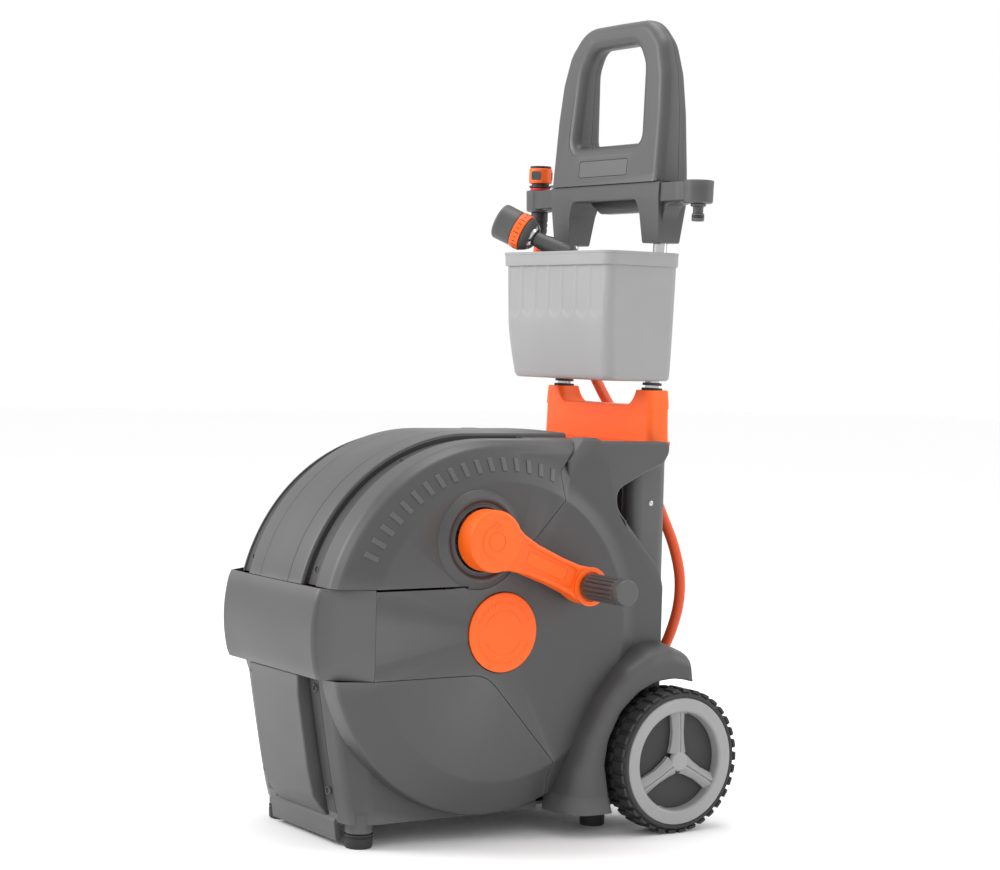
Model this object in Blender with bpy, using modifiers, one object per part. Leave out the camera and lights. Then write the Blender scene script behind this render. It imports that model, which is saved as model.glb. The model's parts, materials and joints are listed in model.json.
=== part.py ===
"""Hose reel cart: enclosed drum with geared crank, wheels, push handle, tool bucket and spray gun."""

from math import atan2, cos, pi, radians, sin, sqrt, tan

import bmesh
import bpy
from mathutils import Matrix, Vector

# ---- overall frame: X across the cart, Y to the rear, Z up, floor at Z = 0 ----
ROOT_X = -0.037
ROOT_Y = -0.0434
GAP = 0.0003
MERGE = 0.00001

# ---- body shells ----
WALL = 0.003
DRUM_Z = 0.256
DISC_X = 0.155
DISC_R = 0.181
RING_X = 0.136
RING_R = 0.223
SHOULDER_X = 0.123
SHOULDER_R = 0.2295
GROOVE_OUT_X = 0.091
GROOVE_IN_X = 0.067
GROOVE_R = 0.2265
CROWN_R = 0.2355
BELT_TOP = 0.313
BELT_BOTTOM = 0.206
BELT_HALF = 0.115
BELT_FRONT = -0.230
BELT_BULGE = 0.008
BELT_SIDE_Y = -0.176
DECK_Z = 0.489
DECK_FRONT_Y = 0.147
FRAME_X = 0.142
FRAME_IN_X = 0.118
TUB_X = 0.115
TUB_FLOOR = 0.029
FENDER_X = 0.185

# ---- gears and crank ----
MODULE = 0.00475
DRUM_TEETH = 36
PINION_TEETH = 14
PRESSURE_ANGLE = radians(20)
TOOTH_BACKLASH = 0.00035
GEAR_X0 = 0.112
GEAR_X1 = 0.124
CRANK_Y = -0.036
CENTRE_DISTANCE = MODULE * (DRUM_TEETH + PINION_TEETH) / 2
CRANK_Z = DRUM_Z + sqrt(CENTRE_DISTANCE ** 2 - CRANK_Y ** 2)
BOSS_X = 0.163
BOSS_R = 0.056
HUB_R = 0.037
HUB_X0 = 0.1633
HUB_X1 = 0.192
ARM_DY = 0.138
ARM_DZ = -0.058
KNOB_R = 0.0165
KNOB_X1 = 0.268

# ---- drum and hose store ----
AXLE_R = 0.010
CORE_R = 0.062
FLANGE_R = 0.172
FLANGE_X = 0.102
COIL_R = 0.160
HOSE_R = 0.007
CAP_R = 0.0485

# ---- wheels and feet ----
WHEEL_Y = 0.2368
WHEEL_R = 0.090
TYRE_X0 = 0.162
TYRE_X1 = 0.205
WHEEL_AXLE_R = 0.006
FOOT_FRONT = (0.0955, -0.158)
FOOT_REAR = (0.112, 0.172)

# ---- handle column ----
TUBE_X = 0.0975
TUBE_Y = 0.257
TUBE_R = 0.009
TUBE_LEAN = radians(2.0)
TUBE_Z0 = 0.30
TUBE_Z1 = 0.795
COLLAR_TOP = 0.549
RIM_TOP = 0.7225
BUCKET_FLOOR = 0.559
YOKE_TOP = 0.812
YOKE_BOTTOM = 0.735
GRIP_TOP = 1.023
GRIP_HALF = 0.120
GRIP_FRONT = 0.239
GRIP_REAR = 0.291
HOLE_HALF = 0.072
ARM_END_X = 0.175
ARM_END_R = 0.019
ARM_Z0 = 0.783
ARM_Y = 0.262

SIDES = {"right": 1, "left": -1}
FINE = 48
MEDIUM = 24
COARSE = 16

# ---- gear mesh: turn that puts a pinion tooth in a drum gear gap ----
MESH_TURN = atan2(CRANK_Z - DRUM_Z, CRANK_Y)
PINION_TURN = MESH_TURN + pi + pi / PINION_TEETH

# ---- spray gun: neck point, barrel direction and handle direction ----
GUN_POINT = Vector((-0.0820, 0.2020, 0.7385))
GUN_AXIS = Vector((-0.706, -0.568, 0.424)).normalized()
HANDLE_DIR = Vector((0.30, -0.25, -0.92)).normalized()
GUN_ELBOW = GUN_POINT - GUN_AXIS * 0.036
GUN_ACROSS = HANDLE_DIR.cross(GUN_AXIS).normalized()
TRIGGER_OUT = -GUN_ACROSS.cross(HANDLE_DIR).normalized()
TRIGGER_PIVOT = GUN_ELBOW + HANDLE_DIR * 0.014 + TRIGGER_OUT * 0.0192

# ---- leader hose: from the rear outlet up to the fitting under the left arm ----
HOSE_END_Z = 0.7520
HOSE_ROUTE = [
    (0.020, 0.2290, 0.150), (0.020, 0.2470, 0.150), (0.0205, 0.2650, 0.150), (0.034, 0.285, 0.158),
    (0.056, 0.302, 0.183), (0.076, 0.311, 0.222), (0.083, 0.321, 0.265), (0.083, 0.3225, 0.305),
    (0.078, 0.315, 0.345), (0.067, 0.303, 0.385), (0.050, 0.2945, 0.425), (0.026, 0.2900, 0.462),
    (-0.006, 0.2890, 0.496), (-0.042, 0.2900, 0.527), (-0.078, 0.2935, 0.560), (-0.112, 0.2965, 0.596),
    (-0.142, 0.2950, 0.636), (-0.163, 0.2860, 0.675), (-0.1735, 0.2690, 0.700), (-0.1750, 0.2622, 0.718),
    (-0.1750, 0.2620, 0.734), (-0.1750, 0.2620, HOSE_END_Z),
]

# ---- colours ----
GREY = (0.115, 0.115, 0.118)
ORANGE = (0.95, 0.13, 0.012)
PALE = (0.42, 0.42, 0.43)
BLACK = (0.018, 0.018, 0.018)
RUBBER = (0.03, 0.03, 0.03)
STEEL = (0.55, 0.55, 0.56)


def clear_scene():
    for item in list(bpy.data.objects):
        bpy.data.objects.remove(item, do_unlink=True)


def make_collection(name):
    found = bpy.data.collections.new(name)
    bpy.context.scene.collection.children.link(found)
    return found


def make_empty(name, location, parent=None):
    empty = bpy.data.objects.new(name, None)
    empty.empty_display_size = 0.02
    empty.location = location
    empty.parent = parent
    PARTS.objects.link(empty)
    return empty


def make_material(name, colour, roughness, metallic=0.0):
    mat = bpy.data.materials.new(name)
    mat.use_nodes = True
    shader = mat.node_tree.nodes["Principled BSDF"]
    shader.inputs["Base Color"].default_value = (*colour, 1.0)
    shader.inputs["Roughness"].default_value = roughness
    shader.inputs["Metallic"].default_value = metallic
    mat.diffuse_color = (*colour, 1.0)
    return mat


def mesh_object(name, verts, faces, origin=(0, 0, 0), cutter=False):
    """An object from points given in the machine frame, its own origin at the given point."""
    mesh = bpy.data.meshes.new(name)
    shift = Vector(origin)
    mesh.from_pydata([Vector(v) - shift for v in verts], [], faces)
    mesh.validate()
    built = bpy.data.objects.new(name, mesh)
    built.location = shift
    (CUTTERS if cutter else PARTS).objects.link(built)
    clean(built)
    return built


def clean(built):
    shape = bmesh.new()
    shape.from_mesh(built.data)
    bmesh.ops.remove_doubles(shape, verts=shape.verts, dist=MERGE)
    bmesh.ops.dissolve_degenerate(shape, dist=MERGE, edges=shape.edges)
    bmesh.ops.recalc_face_normals(shape, faces=shape.faces)
    shape.to_mesh(built.data)
    shape.free()


def loft(name, rings, origin=(0, 0, 0), cutter=False):
    """Joins unlike sections of equal point counts, capped at both ends."""
    count = len(rings[0])
    verts = [p for ring in rings for p in ring]
    faces = []
    for i in range(len(rings) - 1):
        for k in range(count):
            n = (k + 1) % count
            faces.append((i * count + k, i * count + n, (i + 1) * count + n, (i + 1) * count + k))
    faces.append(tuple(range(count))[::-1])
    faces.append(tuple((len(rings) - 1) * count + k for k in range(count)))
    return mesh_object(name, verts, faces, origin, cutter)


def applied(source, name, turn, origin, cutter):
    """Turns an object with modifiers or a curve into a plain mesh part in the machine frame."""
    bpy.context.scene.collection.objects.link(source)
    graph = bpy.context.evaluated_depsgraph_get()
    mesh = bpy.data.meshes.new_from_object(source.evaluated_get(graph))
    bpy.data.objects.remove(source, do_unlink=True)
    mesh.name = name
    mesh.transform(Matrix.Translation(-Vector(origin)) @ turn)
    built = bpy.data.objects.new(name, mesh)
    built.location = origin
    (CUTTERS if cutter else PARTS).objects.link(built)
    clean(built)
    return built


def flat_extrude(name, outline, depth, turn, origin, cutter):
    """A filled 2D curve with half the depth as its extrude."""
    curve = bpy.data.curves.new(name, "CURVE")
    curve.dimensions = "2D"
    curve.fill_mode = "BOTH"
    curve.extrude = abs(depth) / 2
    spline = curve.splines.new("POLY")
    spline.points.add(len(outline) - 1)
    for point, (u, v) in zip(spline.points, outline):
        point.co = (u, v, 0.0, 1.0)
    spline.use_cyclic_u = True
    return applied(bpy.data.objects.new(name, curve), name, turn, origin, cutter)


def axes_matrix(first, second, third, middle):
    turn = Matrix((first, second, third)).transposed().to_4x4()
    return Matrix.Translation(middle) @ turn


def prism_x(name, outline, x0, x1, origin=(0, 0, 0), cutter=False):
    """An outline of (y, z) points extruded from x0 to x1."""
    turn = axes_matrix((0, 1, 0), (0, 0, 1), (1, 0, 0), ((x0 + x1) / 2, 0, 0))
    return flat_extrude(name, outline, x1 - x0, turn, origin, cutter)


def prism_y(name, outline, y0, y1, origin=(0, 0, 0), cutter=False):
    """An outline of (x, z) points extruded from y0 to y1."""
    turn = axes_matrix((1, 0, 0), (0, 0, 1), (0, -1, 0), (0, (y0 + y1) / 2, 0))
    return flat_extrude(name, outline, y1 - y0, turn, origin, cutter)


def prism_z(name, outline, z0, z1, origin=(0, 0, 0), cutter=False):
    """An outline of (x, y) points extruded from z0 to z1."""
    turn = axes_matrix((1, 0, 0), (0, 1, 0), (0, 0, 1), (0, 0, (z0 + z1) / 2))
    return flat_extrude(name, outline, z1 - z0, turn, origin, cutter)


def box(name, low, high, origin=(0, 0, 0), cutter=False):
    shape = bmesh.new()
    bmesh.ops.create_cube(shape, size=1.0)
    size = [b - a for a, b in zip(low, high)]
    middle = [(a + b) / 2 - o for a, b, o in zip(low, high, origin)]
    shape.transform(Matrix.Translation(middle) @ Matrix.Diagonal((*size, 1.0)))
    return from_bmesh(name, shape, origin, cutter)


def from_bmesh(name, shape, origin, cutter):
    mesh = bpy.data.meshes.new(name)
    shape.to_mesh(mesh)
    shape.free()
    built = bpy.data.objects.new(name, mesh)
    built.location = origin
    (CUTTERS if cutter else PARTS).objects.link(built)
    clean(built)
    return built


def screwed(name, points, edges, turn, segments, origin, cutter):
    """A profile of (radius, height) points turned about its own Z with a Screw modifier."""
    mesh = bpy.data.meshes.new(name)
    mesh.from_pydata([(r, 0.0, h) for r, h in points], edges, [])
    source = bpy.data.objects.new(name, mesh)
    screw = source.modifiers.new("turn", "SCREW")
    screw.steps = segments
    screw.render_steps = segments
    screw.use_merge_vertices = True
    screw.merge_threshold = MERGE
    return applied(source, name, turn, origin, cutter)


def lathe_x(name, profile, y, z, segments, origin=(0, 0, 0), cutter=False):
    """A closed (x, radius) profile turned about the X axis through (y, z)."""
    turn = axes_matrix((0, 1, 0), (0, 0, 1), (1, 0, 0), (0, y, z))
    edges = [(i, (i + 1) % len(profile)) for i in range(len(profile))]
    return screwed(name, [(r, x) for x, r in profile], edges, turn, segments, origin, cutter)


def rod_x(name, x0, x1, y, z, radius, segments, origin=(0, 0, 0), cutter=False):
    """A cylinder along X."""
    shape = bmesh.new()
    bmesh.ops.create_cone(shape, cap_ends=True, segments=segments, radius1=radius, radius2=radius,
                          depth=abs(x1 - x0))
    middle = Vector(((x0 + x1) / 2, y, z)) - Vector(origin)
    shape.transform(axes_matrix((0, 1, 0), (0, 0, 1), (1, 0, 0), middle))
    return from_bmesh(name, shape, origin, cutter)


def turned_rod(name, stations, centre, axis, segments, origin=(0, 0, 0), cutter=False):
    """A solid turned from (distance, radius) stations along an axis from a centre point."""
    axis = Vector(axis).normalized()
    side = axis.orthogonal().normalized()
    turn = axes_matrix(side, axis.cross(side), axis, centre)
    points = [(0.0, stations[0][0])] + [(r, d) for d, r in stations] + [(0.0, stations[-1][0])]
    edges = [(i, i + 1) for i in range(len(points) - 1)]
    return screwed(name, points, edges, turn, segments, origin, cutter)


def boolean(target, tool, operation):
    """Applies a boolean to the target and removes a union's tool; cutters stay hidden."""
    step = target.modifiers.new("step", "BOOLEAN")
    step.object = tool
    step.operation = operation
    step.solver = "EXACT"
    graph = bpy.context.evaluated_depsgraph_get()
    graph.update()
    result = bpy.data.meshes.new_from_object(target.evaluated_get(graph))
    target.modifiers.clear()
    target.data = result
    shape = bmesh.new()
    shape.from_mesh(target.data)
    bmesh.ops.remove_doubles(shape, verts=shape.verts, dist=MERGE)
    bmesh.ops.dissolve_degenerate(shape, dist=MERGE / 2, edges=shape.edges)
    bmesh.ops.dissolve_limit(shape, angle_limit=radians(0.2), verts=shape.verts, edges=shape.edges)
    shape.to_mesh(target.data)
    shape.free()
    bpy.data.objects.remove(tool, do_unlink=True)
    return target


def union(target, *tools):
    for tool in tools:
        boolean(target, tool, "UNION")
    return target


def cut(target, *tools):
    for tool in tools:
        boolean(target, tool, "DIFFERENCE")
    return target


def keep(target, tool):
    return boolean(target, tool, "INTERSECT")


def arc(cy, cz, radius, start, end, count):
    """Points of an arc in degrees, both ends included."""
    found = []
    for i in range(count + 1):
        a = radians(start + (end - start) * i / count)
        found.append((cy + radius * cos(a), cz + radius * sin(a)))
    return found


def inset(outline, distance):
    """Moves each side of a simple outline inwards by a distance."""
    area = 0
    for i, (ax, ay) in enumerate(outline):
        bx, by = outline[(i + 1) % len(outline)]
        area += ax * by - bx * ay
    turn = 1 if area > 0 else -1
    found = []
    for i, (px, py) in enumerate(outline):
        ax, ay = outline[i - 1]
        bx, by = outline[(i + 1) % len(outline)]
        first = Vector((px - ax, py - ay)).normalized()
        second = Vector((bx - px, by - py)).normalized()
        n1 = Vector((-first.y, first.x)) * turn
        n2 = Vector((-second.y, second.x)) * turn
        mid = (n1 + n2).normalized()
        reach = distance / max(0.4, mid.dot(n1))
        found.append((px + mid.x * reach, py + mid.y * reach))
    return found


def rounded_rect(cx, cy, hx, hy, radius, steps=4):
    found = []
    for sx, sy, start in ((1, 1, 0), (-1, 1, 90), (-1, -1, 180), (1, -1, 270)):
        for i in range(steps + 1):
            a = radians(start + 90 * i / steps)
            found.append((cx + sx * (hx - radius) + radius * cos(a),
                          cy + sy * (hy - radius) + radius * sin(a)))
    return found


def finish(built, material, parent=None, angle=35):
    """Final normals, material, smoothing and parent of a part."""
    clean(built)
    built.data.materials.clear()
    built.data.materials.append(material)
    for face in built.data.polygons:
        face.use_smooth = True
    built.data.set_sharp_from_angle(angle=radians(angle))
    built.parent = parent or ROOT
    if parent:
        built.location = Vector(built.location) - Vector(parent.location)
    return built


def mirrored(points, side):
    return [(p[0] * side, *p[1:]) for p in points]


# ---------------------------------------------------------------- body shells

def seam_upper():
    """Lower and rear outline of the upper side cover, as (y, z)."""
    lower = [(-0.30, BELT_TOP - 0.002), (-0.075, BELT_TOP - 0.002)]
    around = arc(CRANK_Y, CRANK_Z, 0.0605, 250, 340, 6)
    rear = [(0.045, 0.368), (0.087, 0.413), (0.088, 0.446), (0.125, 0.494)]
    return lower + around + rear


def seam_lower():
    return [(-0.30, BELT_BOTTOM), (-0.021, BELT_BOTTOM), (-0.004, 0.201), (0.008, 0.187),
            (0.079, 0.094), (0.076, 0.072), (0.084, 0.035), (0.084, -0.02)]


def upper_region(name, grow):
    outline = seam_upper() + [(0.125, 0.60), (-0.30, 0.60)]
    return prism_x(name, inset(outline, -grow), -0.20, 0.20, cutter=True)


def lower_region(name, grow):
    outline = seam_lower() + [(-0.30, -0.02)]
    return prism_x(name, inset(outline, -grow), -0.20, 0.20, cutter=True)


def sweep_over(name, section, front_angle, rear_y, segments):
    """A closed (x, radius) section swept over the drum top and straight back to rear_y."""
    rings = []
    for i in range(segments + 1):
        a = radians(front_angle + (90 - front_angle) * i / segments)
        rings.append([(x, r * cos(a), DRUM_Z + r * sin(a)) for x, r in section])
    rings.append([(x, rear_y, DRUM_Z + r) for x, r in section])
    return loft(name, rings)


def upper_cover(side, name, material):
    """Upper side cover: face, sloped ring, shoulder, groove floor and crank boss."""
    outer = [(GROOVE_IN_X, GROOVE_R), (GROOVE_OUT_X, GROOVE_R), (GROOVE_OUT_X + 0.001, 0.2318),
             (SHOULDER_X, SHOULDER_R), (RING_X, RING_R), (DISC_X, DISC_R), (DISC_X, 0.02)]
    inner = [(DISC_X - WALL, 0.02), (DISC_X - WALL, DISC_R - 0.001),
             (RING_X - WALL, RING_R - 0.0025), (SHOULDER_X - 0.001, SHOULDER_R - WALL),
             (GROOVE_OUT_X + 0.004, 0.2236), (GROOVE_IN_X, 0.2236)]
    cover = sweep_over(name, mirrored(outer + inner, side), 180, 0.16, 14)
    boss = [(DISC_X - 0.0015, 0.034), (BOSS_X, 0.034), (BOSS_X, 0.046), (0.1605, 0.050), (DISC_X - 0.0015,
                                                                                          BOSS_R)]
    union(cover, lathe_x("boss", mirrored(boss, side), CRANK_Y, CRANK_Z, 30))
    cut(cover, rod_x("bore", -0.2, 0.2, CRANK_Y, CRANK_Z, 0.0375 if side > 0 else 0.012, 30, cutter=True))
    region = upper_region("keep_upper", -GAP / 2)
    inner_x = FRAME_IN_X - GAP
    union(region, box("keep_inner", (-inner_x, 0.06, DECK_Z - 0.05), (inner_x, DECK_FRONT_Y - GAP, 0.60),
                      cutter=True))
    keep(cover, region)
    belt_room = box("belt_room", (-0.2, -0.3, 0.1), (0.2, -0.05, BELT_TOP + GAP / 2), cutter=True)
    cut(cover, belt_room)
    return finish(cover, material)


def hood_crown(material):
    """Raised middle band of the hood between the two screw grooves."""
    x1 = GROOVE_IN_X - GAP
    top = [(-x1, 0.2236), (-x1, CROWN_R - 0.001), (-x1 + 0.002, CROWN_R), (0.0, CROWN_R + 0.001),
           (x1 - 0.002, CROWN_R), (x1, CROWN_R - 0.001), (x1, 0.2236)]
    under = [(x1 - WALL, 0.2236), (x1 - WALL, CROWN_R - 0.0032), (0.0, CROWN_R - 0.0022),
             (-x1 + WALL, CROWN_R - 0.0032), (-x1 + WALL, 0.2236)]
    crown = sweep_over("hood_crown", top + under, 166, DECK_FRONT_Y - GAP, 14)
    belt_room = box("belt_room", (-0.2, -0.3, 0.1), (0.2, -0.05, BELT_TOP + GAP), cutter=True)
    cut(crown, belt_room)
    return finish(crown, material)


def belt_plan(inward, swell):
    """Half-hexagon plan of the front belt, moved inwards by a distance and bowed out by the swell."""
    front = BELT_FRONT - swell + inward
    half = BELT_HALF - 0.4 * inward
    side_x = DISC_X - inward
    return [(-side_x, BELT_SIDE_Y), (-half, front), (-half / 2, front - 0.004), (0.0, front - 0.005),
            (half / 2, front - 0.004), (half, front), (side_x, BELT_SIDE_Y)]


def front_belt(material):
    """Belt around the front: a band of even wall, bowed outwards over its height."""
    levels = 6
    rings = []
    for i in range(levels + 1):
        t = i / levels
        z = BELT_BOTTOM + GAP + (BELT_TOP - BELT_BOTTOM - 2 * GAP) * t
        swell = BELT_BULGE * (1 - (2 * t - 1) ** 2)
        band = belt_plan(0.0, swell) + belt_plan(WALL, swell)[::-1]
        rings.append([(x, y, z) for x, y in band])
    belt = loft("front_belt", rings)
    cut(belt, box("belt_end", (-0.3, BELT_SIDE_Y - GAP, 0.1), (0.3, 0.1, 0.4), cutter=True))
    return finish(belt, material, angle=25)


def frame_outline():
    """Rear frame plate seen from the side, as (y, z), with its notch open to the rear."""
    return [(0.10, TUB_FLOOR), (0.10, DECK_Z), (0.256, DECK_Z - 0.002), (0.256, 0.472), (0.247, 0.454),
            (0.222, 0.447), (0.188, 0.429), (0.178, 0.413), (0.184, 0.398), (0.198, 0.381),
            (0.245, 0.324), (0.252, 0.305), (0.252, TUB_FLOOR)]


def fender_outline():
    """Mudguard outline round the wheel: outer edge forwards and down, inner arc back up."""
    outer = [(0.268, 0.187), (0.270, 0.222), (0.240, 0.2335), (0.205, 0.230), (0.172, 0.210),
             (0.142, 0.178), (0.116, 0.135), (0.100, 0.095), (0.088, 0.050), (0.084, TUB_FLOOR)]
    inner = [(0.150, TUB_FLOOR), (0.1405, 0.060)]
    return outer + inner + arc(WHEEL_Y, WHEEL_R, 0.1, 180, 74, 12)


def hollow_plate(name, outline, x_open, x_face, side, wall):
    """A tray with its face at x_face, open towards x_open."""
    tray = prism_x(name, outline, side * x_open, side * x_face)
    hollow = prism_x(name + "_hollow", inset(outline, wall), side * (x_open - 0.01),
                     side * (x_face - wall), cutter=True)
    return cut(tray, hollow)


def side_frame(side, name, material):
    """Side frame: belt flank and middle of the disc, rear frame, mudguard and its leg."""
    disc = [(DISC_X, 0.0488), (DISC_X, DISC_R), (RING_X, RING_R), (RING_X - WALL, RING_R - 0.0025),
            (DISC_X - WALL, DISC_R - 0.001), (DISC_X - WALL, 0.0488)]
    frame = lathe_x(name, mirrored(disc, side), 0.0, DRUM_Z, FINE)
    pan = [(DISC_X - 0.0005, 0.051), (DISC_X - 0.0005, 0.0487), (DISC_X - 0.0065, 0.0487),
           (DISC_X - 0.0065, 0.0125), (DISC_X - 0.0095, 0.0125), (DISC_X - 0.0095, 0.051)]
    union(frame, lathe_x("pan", mirrored(pan, side), 0.0, DRUM_Z, 28))
    rear = hollow_plate("rear", frame_outline(), FRAME_IN_X, FRAME_X, side, WALL)
    cut(rear, rod_x("disc_room", -0.2, 0.2, 0.0, DRUM_Z, 0.2085, FINE, cutter=True))
    union(frame, rear)
    fender = hollow_plate("fender", fender_outline(), FRAME_X - 0.0015, FENDER_X, side, 0.0035)
    union(frame, fender)
    flank = [(BELT_SIDE_Y + 0.0002, BELT_BOTTOM), (-0.150, BELT_BOTTOM), (-0.150, BELT_TOP),
             (BELT_SIDE_Y + 0.0002, BELT_TOP)]
    union(frame, prism_x("flank", flank, side * (DISC_X - WALL), side * DISC_X))
    cut(frame, upper_region("away_upper", GAP / 2), lower_region("away_lower", GAP / 2))
    for drop in (box("front_drop", (-0.2, -0.3, 0.0), (0.2, BELT_SIDE_Y, 0.5), cutter=True),
                 rod_x("axle_bore", -0.2, 0.2, WHEEL_Y, WHEEL_R, WHEEL_AXLE_R + GAP, MEDIUM, cutter=True)):
        cut(frame, drop)
    return finish(frame, material)


def tub_side(side, name, material):
    """Lower side cover: lower part of the sloped ring, inset side wall and front leg."""
    ring = [(DISC_X, 0.02), (DISC_X, DISC_R), (RING_X, RING_R), (TUB_X - 0.006, RING_R),
            (TUB_X - 0.006, RING_R - WALL), (RING_X - WALL, RING_R - WALL),
            (DISC_X - WALL, DISC_R - 0.001), (DISC_X - WALL, 0.02)]
    cover = lathe_x(name, mirrored(ring, side), 0.0, DRUM_Z, FINE)
    plan = tub_plan()
    wall_solid = taper_wall("wall", plan, side)
    cut(wall_solid, rod_x("ring_room", -0.2, 0.2, 0.0, DRUM_Z, RING_R - 0.0015, FINE, cutter=True))
    union(cover, wall_solid)
    leg = turned_rod("leg", [(0.0, 0.0165), (0.030, 0.0172)],
                     (side * FOOT_FRONT[0], FOOT_FRONT[1], 0.0172), (0, 0, 1), MEDIUM)
    union(cover, leg)
    keep(cover, lower_region("keep_lower", -GAP / 2))
    cut(cover, box("floor_cut", (-0.2, -0.3, -0.05), (0.2, FOOT_FRONT[1] - 0.1, 0.01), cutter=True))
    return finish(cover, material)


def tub_plan():
    """Front-to-rear plan of the tub's right side at the belt and at the floor."""
    top = [(GROOVE_IN_X, -0.214), (0.086, -0.2135), (0.104, -0.205), (0.1135, -0.190), (TUB_X, -0.170),
           (TUB_X, 0.11)]
    low = [(GROOVE_IN_X, -0.180), (0.086, -0.1795), (0.102, -0.1765), (0.111, -0.168), (TUB_X, -0.155),
           (TUB_X, 0.11)]
    return top, low


def taper_wall(name, plan, side):
    """Side wall between two plan outlines, given a wall thickness towards the middle."""
    top, low = plan
    rings = []
    for outline, z in ((low, TUB_FLOOR), (top, BELT_BOTTOM)):
        back = []
        for i, (x, y) in enumerate(outline):
            ax, ay = outline[max(i - 1, 0)]
            bx, by = outline[min(i + 1, len(outline) - 1)]
            run = Vector((bx - ax, by - ay)).normalized()
            back.append((x - run.y * WALL, y + run.x * WALL))
        ring = outline + back[::-1]
        rings.append([(side * x, y, z) for x, y in ring])
    return loft(name, rings)


def tub_front(material):
    """Raised lower front panel between the grooves, with a sill between the front feet."""
    x1 = GROOVE_IN_X - GAP
    face = [(-0.222, BELT_BOTTOM - GAP), (-0.213, 0.155), (-0.200, 0.08), (-0.194, 0.05), (-0.186, 0.038),
            (-0.182, 0.028), (-0.176, 0.006), (-0.173, 0.006), (-0.179, 0.028), (-0.183, 0.040),
            (-0.191, 0.052), (-0.197, 0.08), (-0.210, 0.155), (-0.219, BELT_BOTTOM - GAP)]
    panel = prism_x("tub_front", face, -x1, x1)
    for s in (-1, 1):
        cheek = [(-0.222, BELT_BOTTOM - GAP), (-0.213, 0.155), (-0.200, 0.08), (-0.194, 0.05),
                 (-0.190, 0.043), (-0.178, 0.043), (-0.188, 0.08), (-0.201, 0.155), (-0.208, BELT_BOTTOM - GAP)]
        union(panel, prism_x("cheek", cheek, s * x1, s * (x1 - WALL)))
    return finish(panel, material)


def base_tray(material):
    """Floor under the drum, with a sill reaching the legs."""
    outline = [(-0.090, -0.168), (0.090, -0.168), (0.1112, -0.140), (0.1112, 0.075), (0.0965, 0.075),
               (0.0965, 0.2185), (-0.0965, 0.2185), (-0.0965, 0.075), (-0.1112, 0.075), (-0.1112, -0.140)]
    tray = prism_z("base_tray", outline, TUB_FLOOR, TUB_FLOOR + 0.004)
    for s in (-1, 1):
        cut(tray, turned_rod("leg_room", [(-0.02, 0.0178), (0.05, 0.0178)],
                             (s * FOOT_FRONT[0], FOOT_FRONT[1], TUB_FLOOR), (0, 0, 1), MEDIUM, cutter=True))
    return finish(tray, material)


def rear_panel(material):
    """Rear wall: two hollow columns for the tubes joined by a ribbed plate."""
    panel = box("rear_panel", (-0.085, 0.222, TUB_FLOOR), (0.085, 0.2255, DECK_Z - 0.012))
    for s in (-1, 1):
        outline = rounded_rect(s * TUBE_X, 0.2475, 0.0175, 0.0285, 0.006, 3)
        column = prism_z("column", outline, TUB_FLOOR, DECK_Z - 0.0125)
        union(panel, column)
    for z in (0.10, 0.28, 0.40):
        union(panel, box("rib", (-0.083, 0.2245, z), (0.083, 0.240, z + 0.004)))
    for s in (-1, 1):
        bore = turned_rod("tube_bore", [(0.0, TUBE_R + GAP), (0.30, TUBE_R + GAP)],
                          tube_point(s, TUBE_Z0 - 0.001), tube_axis(), COARSE, cutter=True)
        cut(panel, bore)
        pocket = rounded_rect(s * TUBE_X, 0.2475, 0.0145, 0.0255, 0.004, 2)
        cut(panel, prism_z("pocket", pocket, 0.0, 0.25, cutter=True))
        cut(panel, rod_x("axle_hole", s * 0.05, s * 0.14, WHEEL_Y, WHEEL_R, WHEEL_AXLE_R + GAP, MEDIUM,
                         cutter=True))
    cut(panel, turned_rod("outlet_hole", [(-0.03, 0.0098 + GAP), (0.03, 0.0098 + GAP)], HOSE_ROUTE[0],
                          (0, 1, 0), COARSE,
                          cutter=True))
    return finish(panel, material)


def tube_axis():
    return (0, sin(TUBE_LEAN), cos(TUBE_LEAN))


def tube_point(side, z):
    return (side * TUBE_X, TUBE_Y + (z - 0.549) * tan(TUBE_LEAN), z)


# ---------------------------------------------------------------- handle column

def deck_bracket(material):
    """Orange deck with the saddle and the two collars the tubes come out of."""
    z0 = DECK_Z - 0.0115
    half = FRAME_IN_X - GAP
    deck = box("deck_bracket", (-half, DECK_FRONT_Y, z0), (half, 0.274, DECK_Z + 0.004))
    saddle = [(-0.116, z0), (0.116, z0), (0.1165, 0.530), (0.1155, COLLAR_TOP - 0.002),
              (0.0835, COLLAR_TOP - 0.002),
              (0.076, 0.5335), (0.066, 0.5275), (-0.066, 0.5275), (-0.076, 0.5335),
              (-0.0835, COLLAR_TOP - 0.002),
              (-0.1155, COLLAR_TOP - 0.002), (-0.1165, 0.530)]
    union(deck, prism_y("saddle", saddle, 0.2385, 0.2755))
    for s in (-1, 1):
        x, y, z = tube_point(s, z0 - 0.004)
        hole = turned_rod("collar_bore", [(0, TUBE_R + GAP), (0.1, TUBE_R + GAP)], (x, y, z), tube_axis(),
                          16,
                          cutter=True)
        cut(deck, hole)
    hollow = box("deck_hollow", (-0.0835, 0.2425, z0 - 0.01), (0.0835, 0.2715, 0.5235), cutter=True)
    cut(deck, hollow)
    hose_gap = box("hose_gap", (-0.052, 0.2415, 0.470), (-0.030, 0.2725, 0.54), cutter=True)
    cut(deck, hose_gap)
    return finish(deck, material)


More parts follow.
